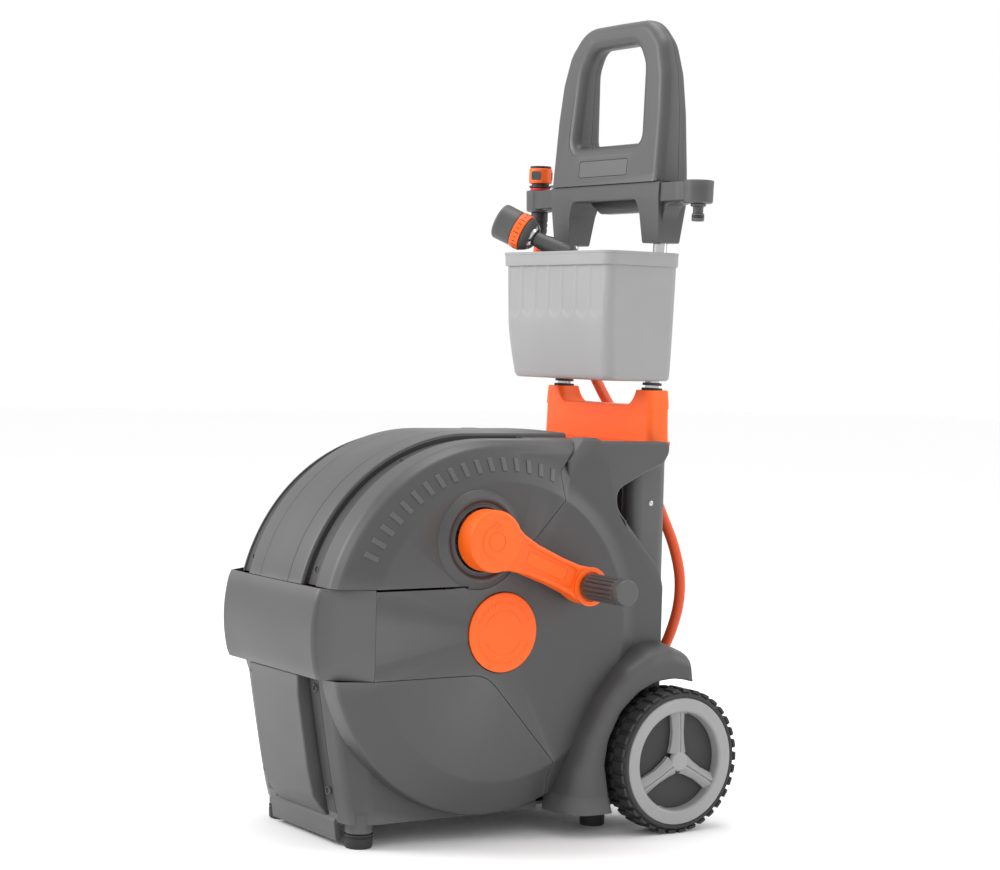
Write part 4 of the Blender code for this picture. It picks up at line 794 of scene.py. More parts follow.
def screw(name, spot, out):
    """A dark countersunk screw in a moulded seat with a fine raised rim."""
    out = Vector(out).normalized()
    head = turned_rod(name, [(-0.007, 0.0016), (-0.0030, 0.0018), (-0.0012, 0.0031), (-0.0008, 0.0033),
                             (-0.0005, 0.0030), (-0.0004, 0.0014)], spot, out, 24)
    done(head, BLACK)
    side = out.orthogonal().normalized()
    turn = axes_matrix(side, out.cross(side), out, spot)
    rim = [(0.0036, -0.0010), (0.0036, 0.0008), (0.0040, 0.0014), (0.0045, 0.0014), (0.0049, 0.0008),
           (0.0049, -0.0010)]
    done(screwed(name + "_seat", rim, True, turn, 32), GREY)


def raised_dashes(label, side):
    """A row of plain raised ribs round the sloped ring."""
    ribs = []
    middle_r = (DISC_R + ring_radius(side)) / 2
    slope_x = (RING_X - DISC_X) / (ring_radius(side) - DISC_R)
    for i in range(17):
        angle = radians(152 - 5.2 * i)
        rings = []
        for r, raise_by, half in ((-0.0085, -0.0008, 0.0030), (-0.0078, 0.0009, 0.0034),
                                  (-0.0060, 0.0013, 0.0032),
                                  (0.0060, 0.0013, 0.0032), (0.0078, 0.0009, 0.0034),
                                  (0.0085, -0.0008, 0.0030)):
            ring = []
            for w, lift in ((-1.0, -0.0030), (-1.0, raise_by - 0.0005), (-0.75, raise_by), (0.75, raise_by),
                            (1.0, raise_by - 0.0005), (1.0, -0.0030)):
                radius = middle_r + r
                turn = angle + w * half / radius
                x = DISC_X + slope_x * (radius - DISC_R) + lift
                ring.append((side * x, radius * cos(turn), DRUM_Z + radius * sin(turn)))
            rings.append(ring)
        ribs.append(loft("rib", rings))
    done(joined("ring_ribs_" + label, ribs), GREY)


def hood_crown():
    """Raised middle band of the hood, with two faint mould lines."""
    x1 = GROOVE_IN_X - GAP
    top = [(-x1, 0.2236), (-x1, CROWN_R), (-0.036, CROWN_R + 0.0007), (-0.0352, CROWN_R + 0.0002),
           (-0.0344, CROWN_R + 0.0008), (0.0, CROWN_R + 0.001), (0.0344, CROWN_R + 0.0008),
           (0.0352, CROWN_R + 0.0002), (0.036, CROWN_R + 0.0007), (x1, CROWN_R), (x1, 0.2236)]
    radii = [0, 0.0035, 0, 0, 0, 0, 0, 0, 0, 0.0035, 0]
    under = [(x1 - WALL, 0.2236), (x1 - WALL, CROWN_R - 0.0032), (0.0, CROWN_R - 0.0022),
             (-x1 + WALL, CROWN_R - 0.0032), (-x1 + WALL, 0.2236)]
    section = rounded(top + under, radii + [0] * 5, 4)
    rings = []
    for i in range(61):
        a = radians(166 + (90 - 166) * i / 60)
        rings.append([(x, r * cos(a), DRUM_Z + r * sin(a)) for x, r in section])
    rings.append([(x, DECK_FRONT_Y - GAP, DRUM_Z + r) for x, r in section])
    crown = loft("hood_band", rings)
    crown = cut(crown, belt_room(GAP))
    done(crown, GREY, nodes=["hood_crown"], angle=25)


def belt_outline(inward):
    """Plan of the front belt."""
    half = BELT_HALF - 0.4 * inward
    side_x = DISC_X - inward
    front = BELT_FRONT + inward
    return [(-side_x, BELT_SIDE_Y), (-half, front), (half, front), (side_x, BELT_SIDE_Y)]


def front_belt():
    """Bowed band round the front with crisp upright corners and softened lips."""
    corner_radii = [0, 0.010, 0.010, 0]
    levels = 14
    rings = []
    for i in range(levels + 1):
        t = i / levels
        z = BELT_BOTTOM + GAP + (BELT_TOP - BELT_BOTTOM - 2 * GAP) * t
        lip = 0.0012 * (exp(-t * 60) + exp(-(1 - t) * 60))
        swell = 0.008 * (1 - (2 * t - 1) ** 2)
        outer = rounded(belt_outline(lip), corner_radii, 8, closed=False)
        inner = rounded(belt_outline(lip + WALL), corner_radii, 8, closed=False)
        ring = []
        for x, y in outer + inner[::-1]:
            reach = min(1.0, max(0.0, (BELT_SIDE_Y - y) / 0.054))
            bow = 0.005 * (1 - (x / BELT_HALF) ** 2) if abs(x) < BELT_HALF else 0.0
            ring.append((x, y - (swell + bow) * reach, z))
        rings.append(ring)
    done(loft("front_belt_band", rings), GREY, nodes=["front_belt"], angle=22)

# ---------------------------------------------------------------- tub, frames and caps

def tub_plan(z):
    """Half plan of the tub's side wall at a height, from the groove round the corner to the rear."""
    t = (z - TUB_FLOOR) / (BELT_BOTTOM - TUB_FLOOR)
    front = -0.180 - 0.034 * t ** 0.85
    side = -0.150 - 0.020 * t
    corners = [(GROOVE_IN_X, front), (0.086, front + 0.0005), (0.106 + 0.0015 * t, front + 0.006),
               (TUB_X, side), (TUB_X, 0.11)]
    return rounded(corners, [0, 0.004, 0.012, 0.020, 0], 6, closed=False)


def tub_side(label, side):
    """Lower side cover: the ring's lower part, the tapered wall inside it and the front leg."""
    ring_r = ring_radius(side)
    ring = [(DISC_X, 0.02), (DISC_X, DISC_R), (RING_X, ring_r), (TUB_X - 0.006, ring_r + 0.0035),
            (TUB_X - 0.006, ring_r - WALL), (RING_X - WALL, ring_r - WALL),
            (DISC_X - WALL, DISC_R - 0.001), (DISC_X - WALL, 0.02)]
    profile = rounded(ring, [0, 0.012, 0.007, 0, 0, 0, 0, 0], 6)
    cover = ring_x("tub", mirrored(profile, side), 0.0, DRUM_Z, 144)
    rings = []
    for i in range(11):
        z = TUB_FLOOR + (BELT_BOTTOM - GAP - TUB_FLOOR) * i / 10
        outline = tub_plan(z)
        back = []
        for k, (x, y) in enumerate(outline):
            ax, ay = outline[max(k - 1, 0)]
            bx, by = outline[min(k + 1, len(outline) - 1)]
            run = Vector((bx - ax, by - ay)).normalized()
            back.append((x - run.y * WALL, y + run.x * WALL))
        rings.append([(side * x, y, z) for x, y in outline + back[::-1]])
    wall = loft("wall", rings)
    wall = cut(wall, rod("ring_room", ring_r - 0.0015, TUB_X - 0.0058, 0.2, (0, 0, DRUM_Z), (side, 0, 0),
                         144))
    # Painted shade: dark strips along the lower groove's floor, standing in for the shadow in that recess.
    painted_shade_rows = []
    for i in range(11):
        z = TUB_FLOOR + 0.012 + (BELT_BOTTOM - 2 * GAP - TUB_FLOOR - 0.012) * i / 10
        line = tub_plan(z)[:8]
        painted_shade_rows.append([(side * (x - 0.0002), y - 0.0004, z) for x, y in line] +
                      [(side * (x - 0.0002), y - 0.0001, z) for x, y in line[::-1]])
    done(loft("groove_floor_low_" + label, painted_shade_rows), GROOVE_PAINTED_SHADE)
    leg = turned_rod("leg", [(0.0, 0.0150), (0.0012, 0.0165), (0.022, 0.0172), (0.032, 0.0150),
                             (0.040, 0.008)],
                     (side * FRONT_FOOT[0], FRONT_FOOT[1], 0.0174), Z_AXIS, 48)
    cover = union(cover, wall, leg)
    cover = keep(cover, lower_region("region", -GAP))
    for z, y in LOWER_SCREWS:
        spot = (side * GROOVE_MID, y, z)
        cover = cut(cover, rod("hole", SCREW_HOLE_R, -0.012, 0.01, spot, (0, -1, 0), 20))
        screw("screw_lower_%s_%d" % (label, round(z * 1000)), spot, (0, -1, 0))
    done(cover, GREY, nodes=["tub_side_" + label]).name = "lower_side_" + label


def tub_front():
    """Raised lower front panel between the grooves, with the sill that joins the front legs."""
    x1 = GROOVE_IN_X - 0.0075
    face = [(-0.237, BELT_BOTTOM - GAP), (-0.2355, 0.180), (-0.2200, 0.09), (-0.2120, 0.058),
            (-0.2010, 0.043),
            (-0.1930, 0.034), (-0.186, 0.034), (-0.186, BELT_BOTTOM - GAP)]
    reach = [(y + 0.0105, z) for y, z in face]
    outline = rounded(reach, [0, 0.02, 0.03, 0.015, 0.010, 0.003, 0, 0], 5)
    panel = softened(prism_x("tub_panel", outline, -x1, x1), 0.0022, 3, 50)
    panel = cut(panel, prism_x("hollow", [(y + 0.004, z) for y, z in inset(reach, 0.004)], -x1 + WALL,
                               x1 - WALL))
    sill = [(-0.1800, 0.006), (-0.1835, 0.030), (-0.1800, 0.036), (-0.1740, 0.036), (-0.1730, 0.006)]
    bar = softened(prism_x("sill", sill, -0.0800, 0.0800), 0.0012, 2, 30)
    done(joined("tub_panel", [panel, bar]), GREY, nodes=["tub_front"])


def frame_outline():
    points = [(0.10, TUB_FLOOR), (0.10, FRAME_TOP), (0.1420, FRAME_TOP), (0.1530, FRAME_TOP - 0.004),
              (0.2555, FRAME_TOP - 0.005), (0.2555, 0.470), (0.247, 0.456), (0.216, 0.444), (0.176, 0.424),
              (0.176, 0.402), (0.190, 0.386), (0.246, 0.322), (0.2515, 0.300), (0.2515, TUB_FLOOR)]
    return rounded(points, [0, 0, 0.004, 0.004, 0.006, 0.016, 0.012, 0.02, 0.026, 0.026, 0.02, 0.02, 0.02,
                            0], 6)


def fender(name, side):
    """Mudguard swept round the wheel: a steep outer flank rolled over to the edge above the tyre."""
    outer = [(0.2695, 0.188), (0.2700, 0.2215), (0.2400, 0.2335), (0.2050, 0.2300), (0.1680, 0.2080),
             (0.1360, 0.1720), (0.1120, 0.1280), (0.0980, 0.0900), (0.0900, 0.0520), (0.0870, TUB_FLOOR)]
    track = rounded(outer, [0, 0.012, 0.02, 0.04, 0.05, 0.05, 0.05, 0.04, 0.03, 0], 5, closed=False)
    rings = []
    for y, z in track:
        away = Vector((y - WHEEL.y, z - WHEEL.z))
        if z > 0.060:
            inner = Vector((WHEEL.y, WHEEL.z)) + away.normalized() * 0.1
        else:
            share = (0.060 - z) / (0.060 - TUB_FLOOR)
            inner = Vector((0.1415 + 0.009 * share, z))
        edge = Vector((y, z))
        ring = [(FRAME_IN_X + 0.004, *edge), (FRAME_X - 0.0005, *edge)]
        for share, rise in ((0.03, 0.30), (0.08, 0.56), (0.16, 0.76), (0.27, 0.90), (0.42, 0.98), (0.60, 1.0),
                            (0.88, 1.0), (0.97, 0.985), (1.0, 0.95)):
            spot = edge.lerp(inner, share)
            ring.append((FRAME_X + (FENDER_X - FRAME_X) * rise, *spot))
        ring.append((FRAME_IN_X + 0.004, *inner))
        rings.append([(side * x, u, v) for x, u, v in ring])
    return loft(name, rings)


def side_frame(label, side):
    """Side frame: belt flank, middle of the disc, rear frame with its notch, and the mudguard."""
    ring_r = ring_radius(side)
    plain = [(DISC_X, 0.0490), (DISC_X, DISC_R), (RING_X, ring_r), (RING_X - WALL, ring_r - 0.0025),
             (DISC_X - WALL, DISC_R - 0.001), (DISC_X - WALL, 0.0490)]
    profile = rounded(plain, [0.0006, 0.012, 0.003, 0, 0, 0], 6)
    frame = ring_x("frame", mirrored(profile, side), 0.0, DRUM_Z, 144)
    pan = [(DISC_X - 0.0008, 0.0530), (DISC_X - 0.0008, 0.0489), (DISC_X - 0.0068, 0.0489),
           (DISC_X - 0.0068, 0.0125), (DISC_X - 0.0095, 0.0125), (DISC_X - 0.0095, 0.0530)]
    frame = union(frame, ring_x("pan", mirrored(pan, side), 0.0, DRUM_Z, 96))
    rear = domed("rear", frame_outline(), side * FRAME_IN_X, side * FRAME_X, 0.0035, "x", 4)
    room_r = ring_r - 0.0145
    room = rod("disc_room", room_r, -0.2, 0.2, (0, 0, DRUM_Z), X_AXIS, 144)
    frame = union(frame, cut(rear, room))
    frame = union(frame, fender("fender", side))
    flank = box("flank", (side * (DISC_X - 0.0028), BELT_SIDE_Y + GAP, BELT_BOTTOM - 0.002),
                (side * (DISC_X - 0.00012), -0.1585, BELT_TOP + 0.002))
    frame = union(frame, flank)
    frame = cut(frame, upper_region("away_upper", GAP), lower_region("away_lower", GAP),
                box("front_drop", (-0.2, -0.3, 0.0), (0.2, BELT_SIDE_Y + GAP, 0.5)),
                rod("axle_bore", AXLE_HOLE_R, -0.2, 0.2, (0, WHEEL.y, WHEEL.z), X_AXIS, 32),
                turned_rod("wheel_room", [(TYRE_X0 - 0.003, WHEEL_ROOM_R),
                                          (0.25, WHEEL_ROOM_R)] if side > 0 else
                           [(-0.25, WHEEL_ROOM_R), (-TYRE_X0 + 0.003, WHEEL_ROOM_R)], (0, WHEEL.y, WHEEL.z),
                           X_AXIS, 96))
    done(frame, GREY, nodes=["side_frame_" + label]).name = "frame_side_" + label


def gear_band(radius, depth, start, end, teeth):
    """A thin toothed line between two angles, as an outline of (u, v)."""
    outer = []
    inner = []
    for i in range(teeth * 4 + 1):
        a = radians(start + (end - start) * i / (teeth * 4))
        high_side = i % 4 in (1, 2)
        r = radius + (depth if high_side else 0.0)
        outer.append((r * cos(a), r * sin(a)))
        inner.append(((r - 0.0009) * cos(a), (r - 0.0009) * sin(a)))
    return outer + inner[::-1]


def end_cap(label, side):
    """Orange cap on the drum axis, engraved with two halves of a gear outline."""
    depth = high("cap_right").x
    steps = [(DISC_X - 0.0060, CAP_R - 0.0012), (depth - 0.0012, CAP_R - 0.0004),
             (depth - 0.0004, CAP_R - 0.0012),
             (depth, CAP_R - 0.0030)]
    cap = turned_rod("cap", steps, (0, 0, DRUM_Z), (side, 0, 0), 96)
    marks = []
    for first, last in ((20, 160), (200, 340)):
        for outline in (gear_band(0.0360, 0.0028, first, last, 15),
                        gear_band(0.0270, 0.0, first + 4, last - 4, 12)):
            marks.append(prism_x("mark", [(u, DRUM_Z + v) for u, v in outline], side * (depth - 0.0004),
                                 side * (depth + 0.002)))
    cap = cut(cap, *marks)
    done(cap, ORANGE, nodes=["cap_" + label])


# ---------------------------------------------------------------- crank

def crank_arm():
    """Crank arm: round hub with an engraved ring and arrow, waisted bar with raised sides, cupped end."""
    lean = atan2(KNOB.z - CRANK.z, KNOB.y - CRANK.y)
    length = (KNOB - CRANK).yz.length
    face = high("crank_arm").x - 0.0015
    hub_face = high("crank_arm").x

    def on_arm(s, v):
        return (CRANK.y + s * cos(lean) - v * sin(lean), CRANK.z + s * sin(lean) + v * cos(lean))
    edge = [(0.0, 0.0345), (0.018, 0.0315), (0.036, 0.0235), (0.060, 0.0195), (0.100, 0.0180),
            (length - 0.022, 0.0190), (length - 0.006, 0.0225)]
    outline = rounded(edge + [(s, -v) for s, v in edge[::-1]], [0] + [0.02] * 5 + [0, 0] + [0.02] * 5 + [0],
                      5)
    arm = domed("arm", [on_arm(s, v) for s, v in outline], 0.1665, face - 0.0012, 0.0040, "x", 5)
    channel = rounded([(0.041, 0.0150), (0.060, 0.0135), (0.100, 0.0125), (length - 0.026, 0.0130),
                       (length - 0.026, -0.0130), (0.100, -0.0125), (0.060, -0.0135), (0.041, -0.0150)],
                       0.005, 4)
    arm = cut(arm, prism_x("channel", [on_arm(s, v) for s, v in channel], face - 0.0026, face + 0.01))
    frame_line = rounded([(0.050, 0.0085), (0.112, 0.0080), (0.112, -0.0080), (0.050, -0.0085)], 0.003, 4)
    outer = prism_x("label", [on_arm(s, v) for s, v in frame_line], face - 0.0031, face + 0.01)
    inner = prism_x("label_in", [on_arm(s, v) for s, v in inset(frame_line, 0.0007)], face - 0.02,
                    face + 0.02)
    arm = cut(arm, cut(outer, inner))
    hub = [(low("crank_arm").x, 0.0360), (low("crank_arm").x + 0.001, 0.0370), (hub_face - 0.004, 0.0370),
           (hub_face - 0.0016, 0.0362), (hub_face - 0.0003, 0.0343), (hub_face, 0.0320)]
    arm = union(arm, turned_rod("hub", hub, (0, CRANK.y, CRANK.z), X_AXIS, 96))
    end = [(0.1665, 0.0222), (0.188, 0.0226), (0.1915, 0.0238), (0.1928, 0.0236), (0.1932, 0.0224)]
    arm = union(arm, turned_rod("end", end, (0, KNOB.y, KNOB.z), X_AXIS, 72))
    arm = cut(arm, turned_rod("cup", [(0.1905, 0.0176), (0.2, 0.0196)], (0, KNOB.y, KNOB.z), X_AXIS, 72))
    ring = [(hub_face - 0.0005, 0.0120), (hub_face + 0.002, 0.0120), (hub_face + 0.002, 0.0108),
            (hub_face - 0.0005, 0.0108)]
    arm = cut(arm, ring_x("ring_mark", ring, CRANK.y, CRANK.z, 64))
    arrow = arc(0, 0, 0.0215, 100, 262, 24) + arc(0, 0, 0.0195, 262, 100, 24)
    head = [(0.0255 * cos(radians(98)), 0.0255 * sin(radians(98))),
            (0.0205 * cos(radians(74)), 0.0205 * sin(radians(74))),
            (0.0155 * cos(radians(98)), 0.0155 * sin(radians(98)))]
    for outline in (arrow, head):
        arm = cut(arm, prism_x("arrow", [(CRANK.y + u, CRANK.z + v) for u, v in outline], hub_face - 0.0005,
                               hub_face + 0.002))
    arm = cut(arm, rod("shaft_bore", 0.0091, 0.15, 0.1651, (0, CRANK.y, CRANK.z), X_AXIS, 32),
              rod("spindle_bore", 0.0048, 0.175, 0.2, (0, KNOB.y, KNOB.z), X_AXIS, 24),
              rod("head_bore", 0.0078, 0.15, 0.1798, (0, KNOB.y, KNOB.z), X_AXIS, 24))
    done(arm, ORANGE, "crank", ["crank_arm"], angle=30)


def knob():
    """Ribbed free-turning knob with a plain domed end."""
    x0 = low("knob").x
    x1 = high("knob").x
    ribs = 18
    rings = []
    end_r = high("knob").z - KNOB.z
    stations = [(x0, end_r * 0.93, 0.0), (x0 + 0.0008, end_r * 0.97, 0.0), (x0 + 0.003, end_r * 0.99, 0.0),
                (x0 + 0.0045, end_r, 0.3), (x0 + 0.007, end_r, 1.0), (x1 - 0.0185, end_r * 0.985, 1.0),
                (x1 - 0.0155, end_r * 0.98, 0.5), (x1 - 0.0140, end_r * 0.97, 0.0),
                (x1 - 0.0128, end_r * 0.94, 0.0),
                (x1 - 0.0112, end_r * 0.94, 0.0), (x1 - 0.0100, end_r * 0.97, 0.0),
                (x1 - 0.0022, end_r * 0.96, 0.0),
                (x1 - 0.0006, end_r * 0.91, 0.0), (x1, end_r * 0.84, 0.0)]
    for x, radius, share in stations:
        ring = []
        for k in range(ribs * 8):
            a = 2 * pi * k / (ribs * 8)
            groove = (0.0, 0.0, 0.0, 0.25, 1.0, 1.0, 0.25, 0.0)[k % 8]
            r = radius - 0.0015 * groove * share
            ring.append((x, KNOB.y + r * cos(a), KNOB.z + r * sin(a)))
        rings.append(ring)
    body = loft("grip_knob", rings)
    body = cut(body, turned_rod("bore", [(x0 - 0.01, 0.0048), (x1 - 0.0180, 0.0048), (x1 - 0.0165, 0.0078),
                                         (x1 - 0.0075, 0.0078)], (0, KNOB.y, KNOB.z), X_AXIS, 24))
    done(body, GREY, "knob", ["knob"], angle=40)


# ---------------------------------------------------------------- wheels and feet

def lug(name, x0, x1, y, z, base, tip, half_angle):
    outline = arc(y, z, base, -half_angle, half_angle, 3) + arc(y, z, tip, half_angle * 0.82,
                                                                -half_angle * 0.82, 3)
    return softened(prism_x(name, outline, x0, x1), 0.0007, 2, 40)


def wheel(label, side):
    """Wheel: lugged tyre, stepped rim ring and the ridged three-way trim over a dark dish."""
    body = "wheel_" + label
    centre = (0.0, WHEEL.y, WHEEL.z)
    x0, x1 = TYRE_X0, TYRE_X1
    radius = WHEEL.z
    profile = [(x0, 0.0795), (x0, radius - 0.0065), (x0 + 0.005, radius - 0.0028),
               (x1 - 0.005, radius - 0.0028),
               (x1, radius - 0.0065), (x1 + 0.0004, 0.0825), (x1, 0.0795)]
    carcass = ring_x("tyre", mirrored(rounded(profile, [0, 0.004, 0.006, 0.006, 0.004, 0, 0], 5), side),
                     WHEEL.y, WHEEL.z, 120)
    step = 360 / LUGS
    mid = (x0 + x1) / 2
    outer_row = spun(lug("lug", side * (mid + 0.0018), side * (x1 - 0.0012), WHEEL.y, WHEEL.z, radius - 0.004,
                         radius - 0.0001, step * 0.36), LUGS, centre)
    inner_row = spun(lug("lug", side * (x0 + 0.0012), side * (mid - 0.0018), WHEEL.y, WHEEL.z, radius - 0.004,
                         radius - 0.0001, step * 0.36), LUGS, centre, start=radians(step / 2))
    done(joined("tyre_tread_" + label, [carcass, outer_row, inner_row]), TYRE, body, ["tyre_" + label],
         angle=40)
    rim = [(x0 + 0.001, 0.0791), (x1 - 0.001, 0.0791), (x1 + 0.0006, 0.0782), (x1 + 0.0008, 0.0765),
           (x1 + 0.0008, 0.0640), (x1 - 0.0004, 0.0622), (x1 - 0.0025, 0.0612), (x1 - 0.012, 0.0600),
           (x1 - 0.016, 0.0600), (x1 - 0.016, 0.0620), (x0 + 0.001, 0.0740)]
    done(ring_x("rim_ring_" + label,
                mirrored(rounded(rim, [0, 0.001, 0.001, 0.001, 0.002, 0.002, 0.002, 0, 0, 0, 0], 3),
                                              side), WHEEL.y, WHEEL.z, 120), PALE, body)
    dish = [(x0 + 0.006, 0.0066), (x0 + 0.006, 0.016), (x1 - 0.0165, 0.016), (x1 - 0.0165, 0.0597),
            (x1 - 0.012, 0.0597), (x1 - 0.012, 0.0066)]
    done(ring_x("rim_dish_" + label, mirrored(dish, side), WHEEL.y, WHEEL.z, 96), DARK, body,
         ["rim_" + label])
    spoke_trim(label, side, x1, centre, body)


def spoke_trim(label, side, x1, centre, body):
    """Three flaring ridged arms that meet in a low round boss."""
    stations = ((0.010, 0.0125, 0.0000), (0.020, 0.0100, 0.0004), (0.036, 0.0085, 0.0002),
                (0.052, 0.0098, -0.0010),
                (0.0612, 0.0118, -0.0026))
    rings = []
    for r, half, lift in stations:
        top = x1 + 0.0006 + lift
        section = [(-half, x1 - 0.0110), (-half, top - 0.0062), (-half * 0.42, top - 0.0010),
                   (-half * 0.26, top),
                   (-half * 0.13, top - 0.0004), (0.0, top - 0.0022), (half * 0.13, top - 0.0004),
                   (half * 0.26, top),
                   (half * 0.42, top - 0.0010), (half, top - 0.0062), (half, x1 - 0.0110)]
        rings.append([(side * x, centre[1] + w, centre[2] + r) for w, x in section])
    arms = spun(loft("spoke", rings), 3, centre)
    boss = [(x1 - 0.0058, 0.0130), (x1 - 0.0018, 0.0128), (x1 + 0.0004, 0.0112), (x1 + 0.0008, 0.0085)]
    middle = turned_rod("boss", boss, centre, (side, 0, 0), 48)
    done(joined("wheel_trim_" + label, [arms, middle]), PALE, body, ["cover_" + label], angle=28)


def feet():
    for label, side in SIDES.items():
        for end, (x, y), stations in (
                ("front", FRONT_FOOT, [(0.0, 0.0150), (0.0018, 0.0166), (0.0125, 0.0171), (0.0130, 0.0160),
                                             (0.0142, 0.0160), (0.0147, 0.0171), (0.0169, 0.0171)]),
                ("rear", REAR_FOOT, [(0.0, 0.0140), (0.0018, 0.0155), (TUB_FLOOR - GAP, 0.0158)])):
            foot = turned_rod("rubber_foot_%s_%s" % (end, label), stations, (side * x, y, 0.0), Z_AXIS, 40)
            done(foot, RUBBER, nodes=["foot_%s_%s" % (end, label)])


# ---------------------------------------------------------------- rear panel, deck and tubes

def tube_axis():
    return (0, sin(TUBE_LEAN), cos(TUBE_LEAN))


def tube_point(side, z):
    return (side * TUBE_X, TUBE_Y + (z - 0.549) * sin(TUBE_LEAN) / cos(TUBE_LEAN), z)


def rear_panel():
    """Ribbed rear wall between two rounded columns."""
    top = low("deck_bracket").z - GAP
    panel = box("panel", (-0.085, 0.222, TUB_FLOOR), (0.085, 0.2255, top))
    for s in (-1, 1):
        outline = rounded_rect(s * TUBE_X, COLUMN_Y, 0.0175, 0.0285, 0.0165, 10)
        panel = union(panel, prism_z("column", outline, TUB_FLOOR, top))
    for z in (0.10, 0.28, 0.40):
        rib = softened(box("rib", (-0.083, 0.2245, z), (0.083, 0.240, z + 0.004)), 0.001, 2)
        panel = union(panel, rib)
    for s in (-1, 1):
        bore = rod("tube_bore", TUBE_R + GAP, 0.0, 0.30, tube_point(s, 0.299), tube_axis(), 32)
        pocket = prism_z("pocket", rounded_rect(s * TUBE_X, COLUMN_Y, 0.0145, 0.0255, 0.006, 4), 0.0, 0.25)
        axle = rod("axle_hole", AXLE_HOLE_R, 0.05, 0.14, (0, WHEEL.y, WHEEL.z), (s, 0, 0), 32)
        panel = cut(panel, bore, pocket, axle)
    panel = cut(panel, rod("outlet", 0.0102, -0.03, 0.03, HOSE_ROUTE[0], Y_AXIS, 32))
    done(panel, GREY, nodes=["rear_panel"])
    for s, label in ((1, "right"), (-1, "left")):
        head = turned_rod("column_screw_%s_404" % label,
                          [(0.0, 0.0034), (0.0010, 0.0034), (0.0016, 0.0026), (0.0018, 0.0010)],
                          (s * (TUBE_X + 0.0173), COLUMN_Y, COLUMN_SCREW_Z), (s, 0, 0), 24)
        done(head, STEEL)


def base_tray():
    corners = [(-0.090, -0.168), (0.090, -0.168), (0.1112, -0.140), (0.1112, 0.075), (0.0965, 0.075),
               (0.0965, 0.2185), (-0.0965, 0.2185), (-0.0965, 0.075), (-0.1112, 0.075), (-0.1112, -0.140)]
    tray = prism_z("tray", corners, TUB_FLOOR, TUB_FLOOR + 0.004)
    ribs = [box("rib", (-0.088, y, TUB_FLOOR + 0.0035), (0.088, y + 0.003, TUB_FLOOR + 0.0065))
            for y in (-0.12, -0.06, 0.0, 0.06, 0.12, 0.18)]
    tray = union(tray, *ribs)
    for s in (-1, 1):
        tray = cut(tray, rod("leg_room", 0.0180, -0.02, 0.05, (s * FRONT_FOOT[0], FRONT_FOOT[1], TUB_FLOOR),
                                    Z_AXIS, 32))
    done(tray, GREY, nodes=["base_tray"])


def deck():
    """Orange deck with its saddle: two round-shouldered collars joined by a dipped bridge."""
    z0 = low("deck_bracket").z
    half = FRAME_IN_X - GAP
    middle = TUBE_Y - 0.0002
    body = softened(box("deck_body", (-half, DECK_FRONT_Y, z0), (half, 0.2740, DECK_TOP)), 0.0012, 2)
    rings = []
    for z, grow in ((DECK_TOP - 0.003, 0.0006), (0.4900, 0.0003), (0.5000, 0.0), (0.5255, -0.0004),
                    (0.5272, -0.0010),
                    (0.5280, -0.0026)):
        rings.append([(u, v, z) for u, v in rounded_rect(0.0, middle, 0.1162 + grow, 0.0182 + grow, 0.0095,
                                                         8)])
    body = union(body, loft("bridge", rings))
    for s in (-1, 1):
        rings = []
        for z, inner, outer, thin in ((0.5240, 0.0560, 0.1160, 0.0), (0.5276, 0.0640, 0.1160, 0.0),
                                      (0.5300, 0.0700, 0.1159, 0.0), (0.5335, 0.0745, 0.1156, 0.0001),
                                      (0.5385, 0.0785, 0.1152, 0.0003), (0.5440, 0.0812, 0.1147, 0.0006),
                                      (0.5478, 0.0824, 0.1142, 0.0009), (COLLAR_TOP, 0.0834, 0.1132, 0.0018)):
            wide = (outer - inner) / 2
            rings.append([(s * (inner + outer) / 2 + u, v, z) for u, v in
                          rounded_rect(0.0, middle, wide, 0.0184 - thin, 0.0085, 8)])
        body = union(body, loft("tower", rings))
    for s in (-1, 1):
        body = cut(body, rod("collar_bore", TUBE_R + GAP, 0, 0.1, tube_point(s, z0 - 0.004),
                                    tube_axis(), 32))
    body = cut(body, box("hollow", (-0.0835, 0.2425, z0 - 0.01), (0.0835, 0.2715, 0.5235)))
    body = cut(body, box("hose_gap", (-0.052, 0.2415, 0.470), (-0.030, 0.2725, 0.54)))
    done(body, ORANGE, nodes=["deck_bracket"], angle=30).name = "deck_saddle"
    for label, side in SIDES.items():
        for name, z, width in (("collar", COLLAR_TOP, 0.0128), ("stop", BUCKET_FLOOR - 0.0055, 0.0118)):
            ring = [(0.0002, TUBE_R + 0.0003), (0.0002, width), (0.0008, width + 0.0006),
                    (0.0030, width + 0.0006),
                    (0.0038, width - 0.0004), (0.0038, TUBE_R + 0.0003)]
            turn = axes_matrix(X_AXIS, (0, cos(TUBE_LEAN), -sin(TUBE_LEAN)), tube_axis(), tube_point(side, z))
            seal = screwed("%s_seal_%s" % (name, label), [(r, h) for h, r in ring], True, turn, 48)
            done(seal, BLACK)


def tubes():
    for label, side in SIDES.items():
        z0 = low("tube_right").z + 0.0003
        length = (high("tube_right").z - z0 - 0.0006) / cos(TUBE_LEAN)
        tube = rod("column_tube_" + label, TUBE_R, 0, length, tube_point(side, z0), tube_axis(), 48)
        tube = cut(tube, rod("bore", TUBE_R - 0.0012, -0.01, length + 0.01, tube_point(side, z0),
                             tube_axis(), 32))
        done(tube, STEEL, nodes=["tube_" + label])


# ---------------------------------------------------------------- bucket

def flute(x, z):
    """Depth of the bucket's front flutes at a place: seven shallow channels with round lower ends."""
    pitch = 0.0305
    phase = (x / pitch + 0.5) % 1.0 - 0.5
    if abs(x) > pitch * 3.5:
        return 0.0
    across = abs(phase) * 2
    foot = 0.6375 + 0.010 * across ** 2
    rise = min(1.0, max(0.0, (z - foot) / 0.006))
    rise = rise * rise * (3 - 2 * rise)
    edge = min(1.0, max(0.0, (0.90 - across) / 0.22))
    edge = edge * edge * (3 - 2 * edge)
    return 0.0011 * rise * edge


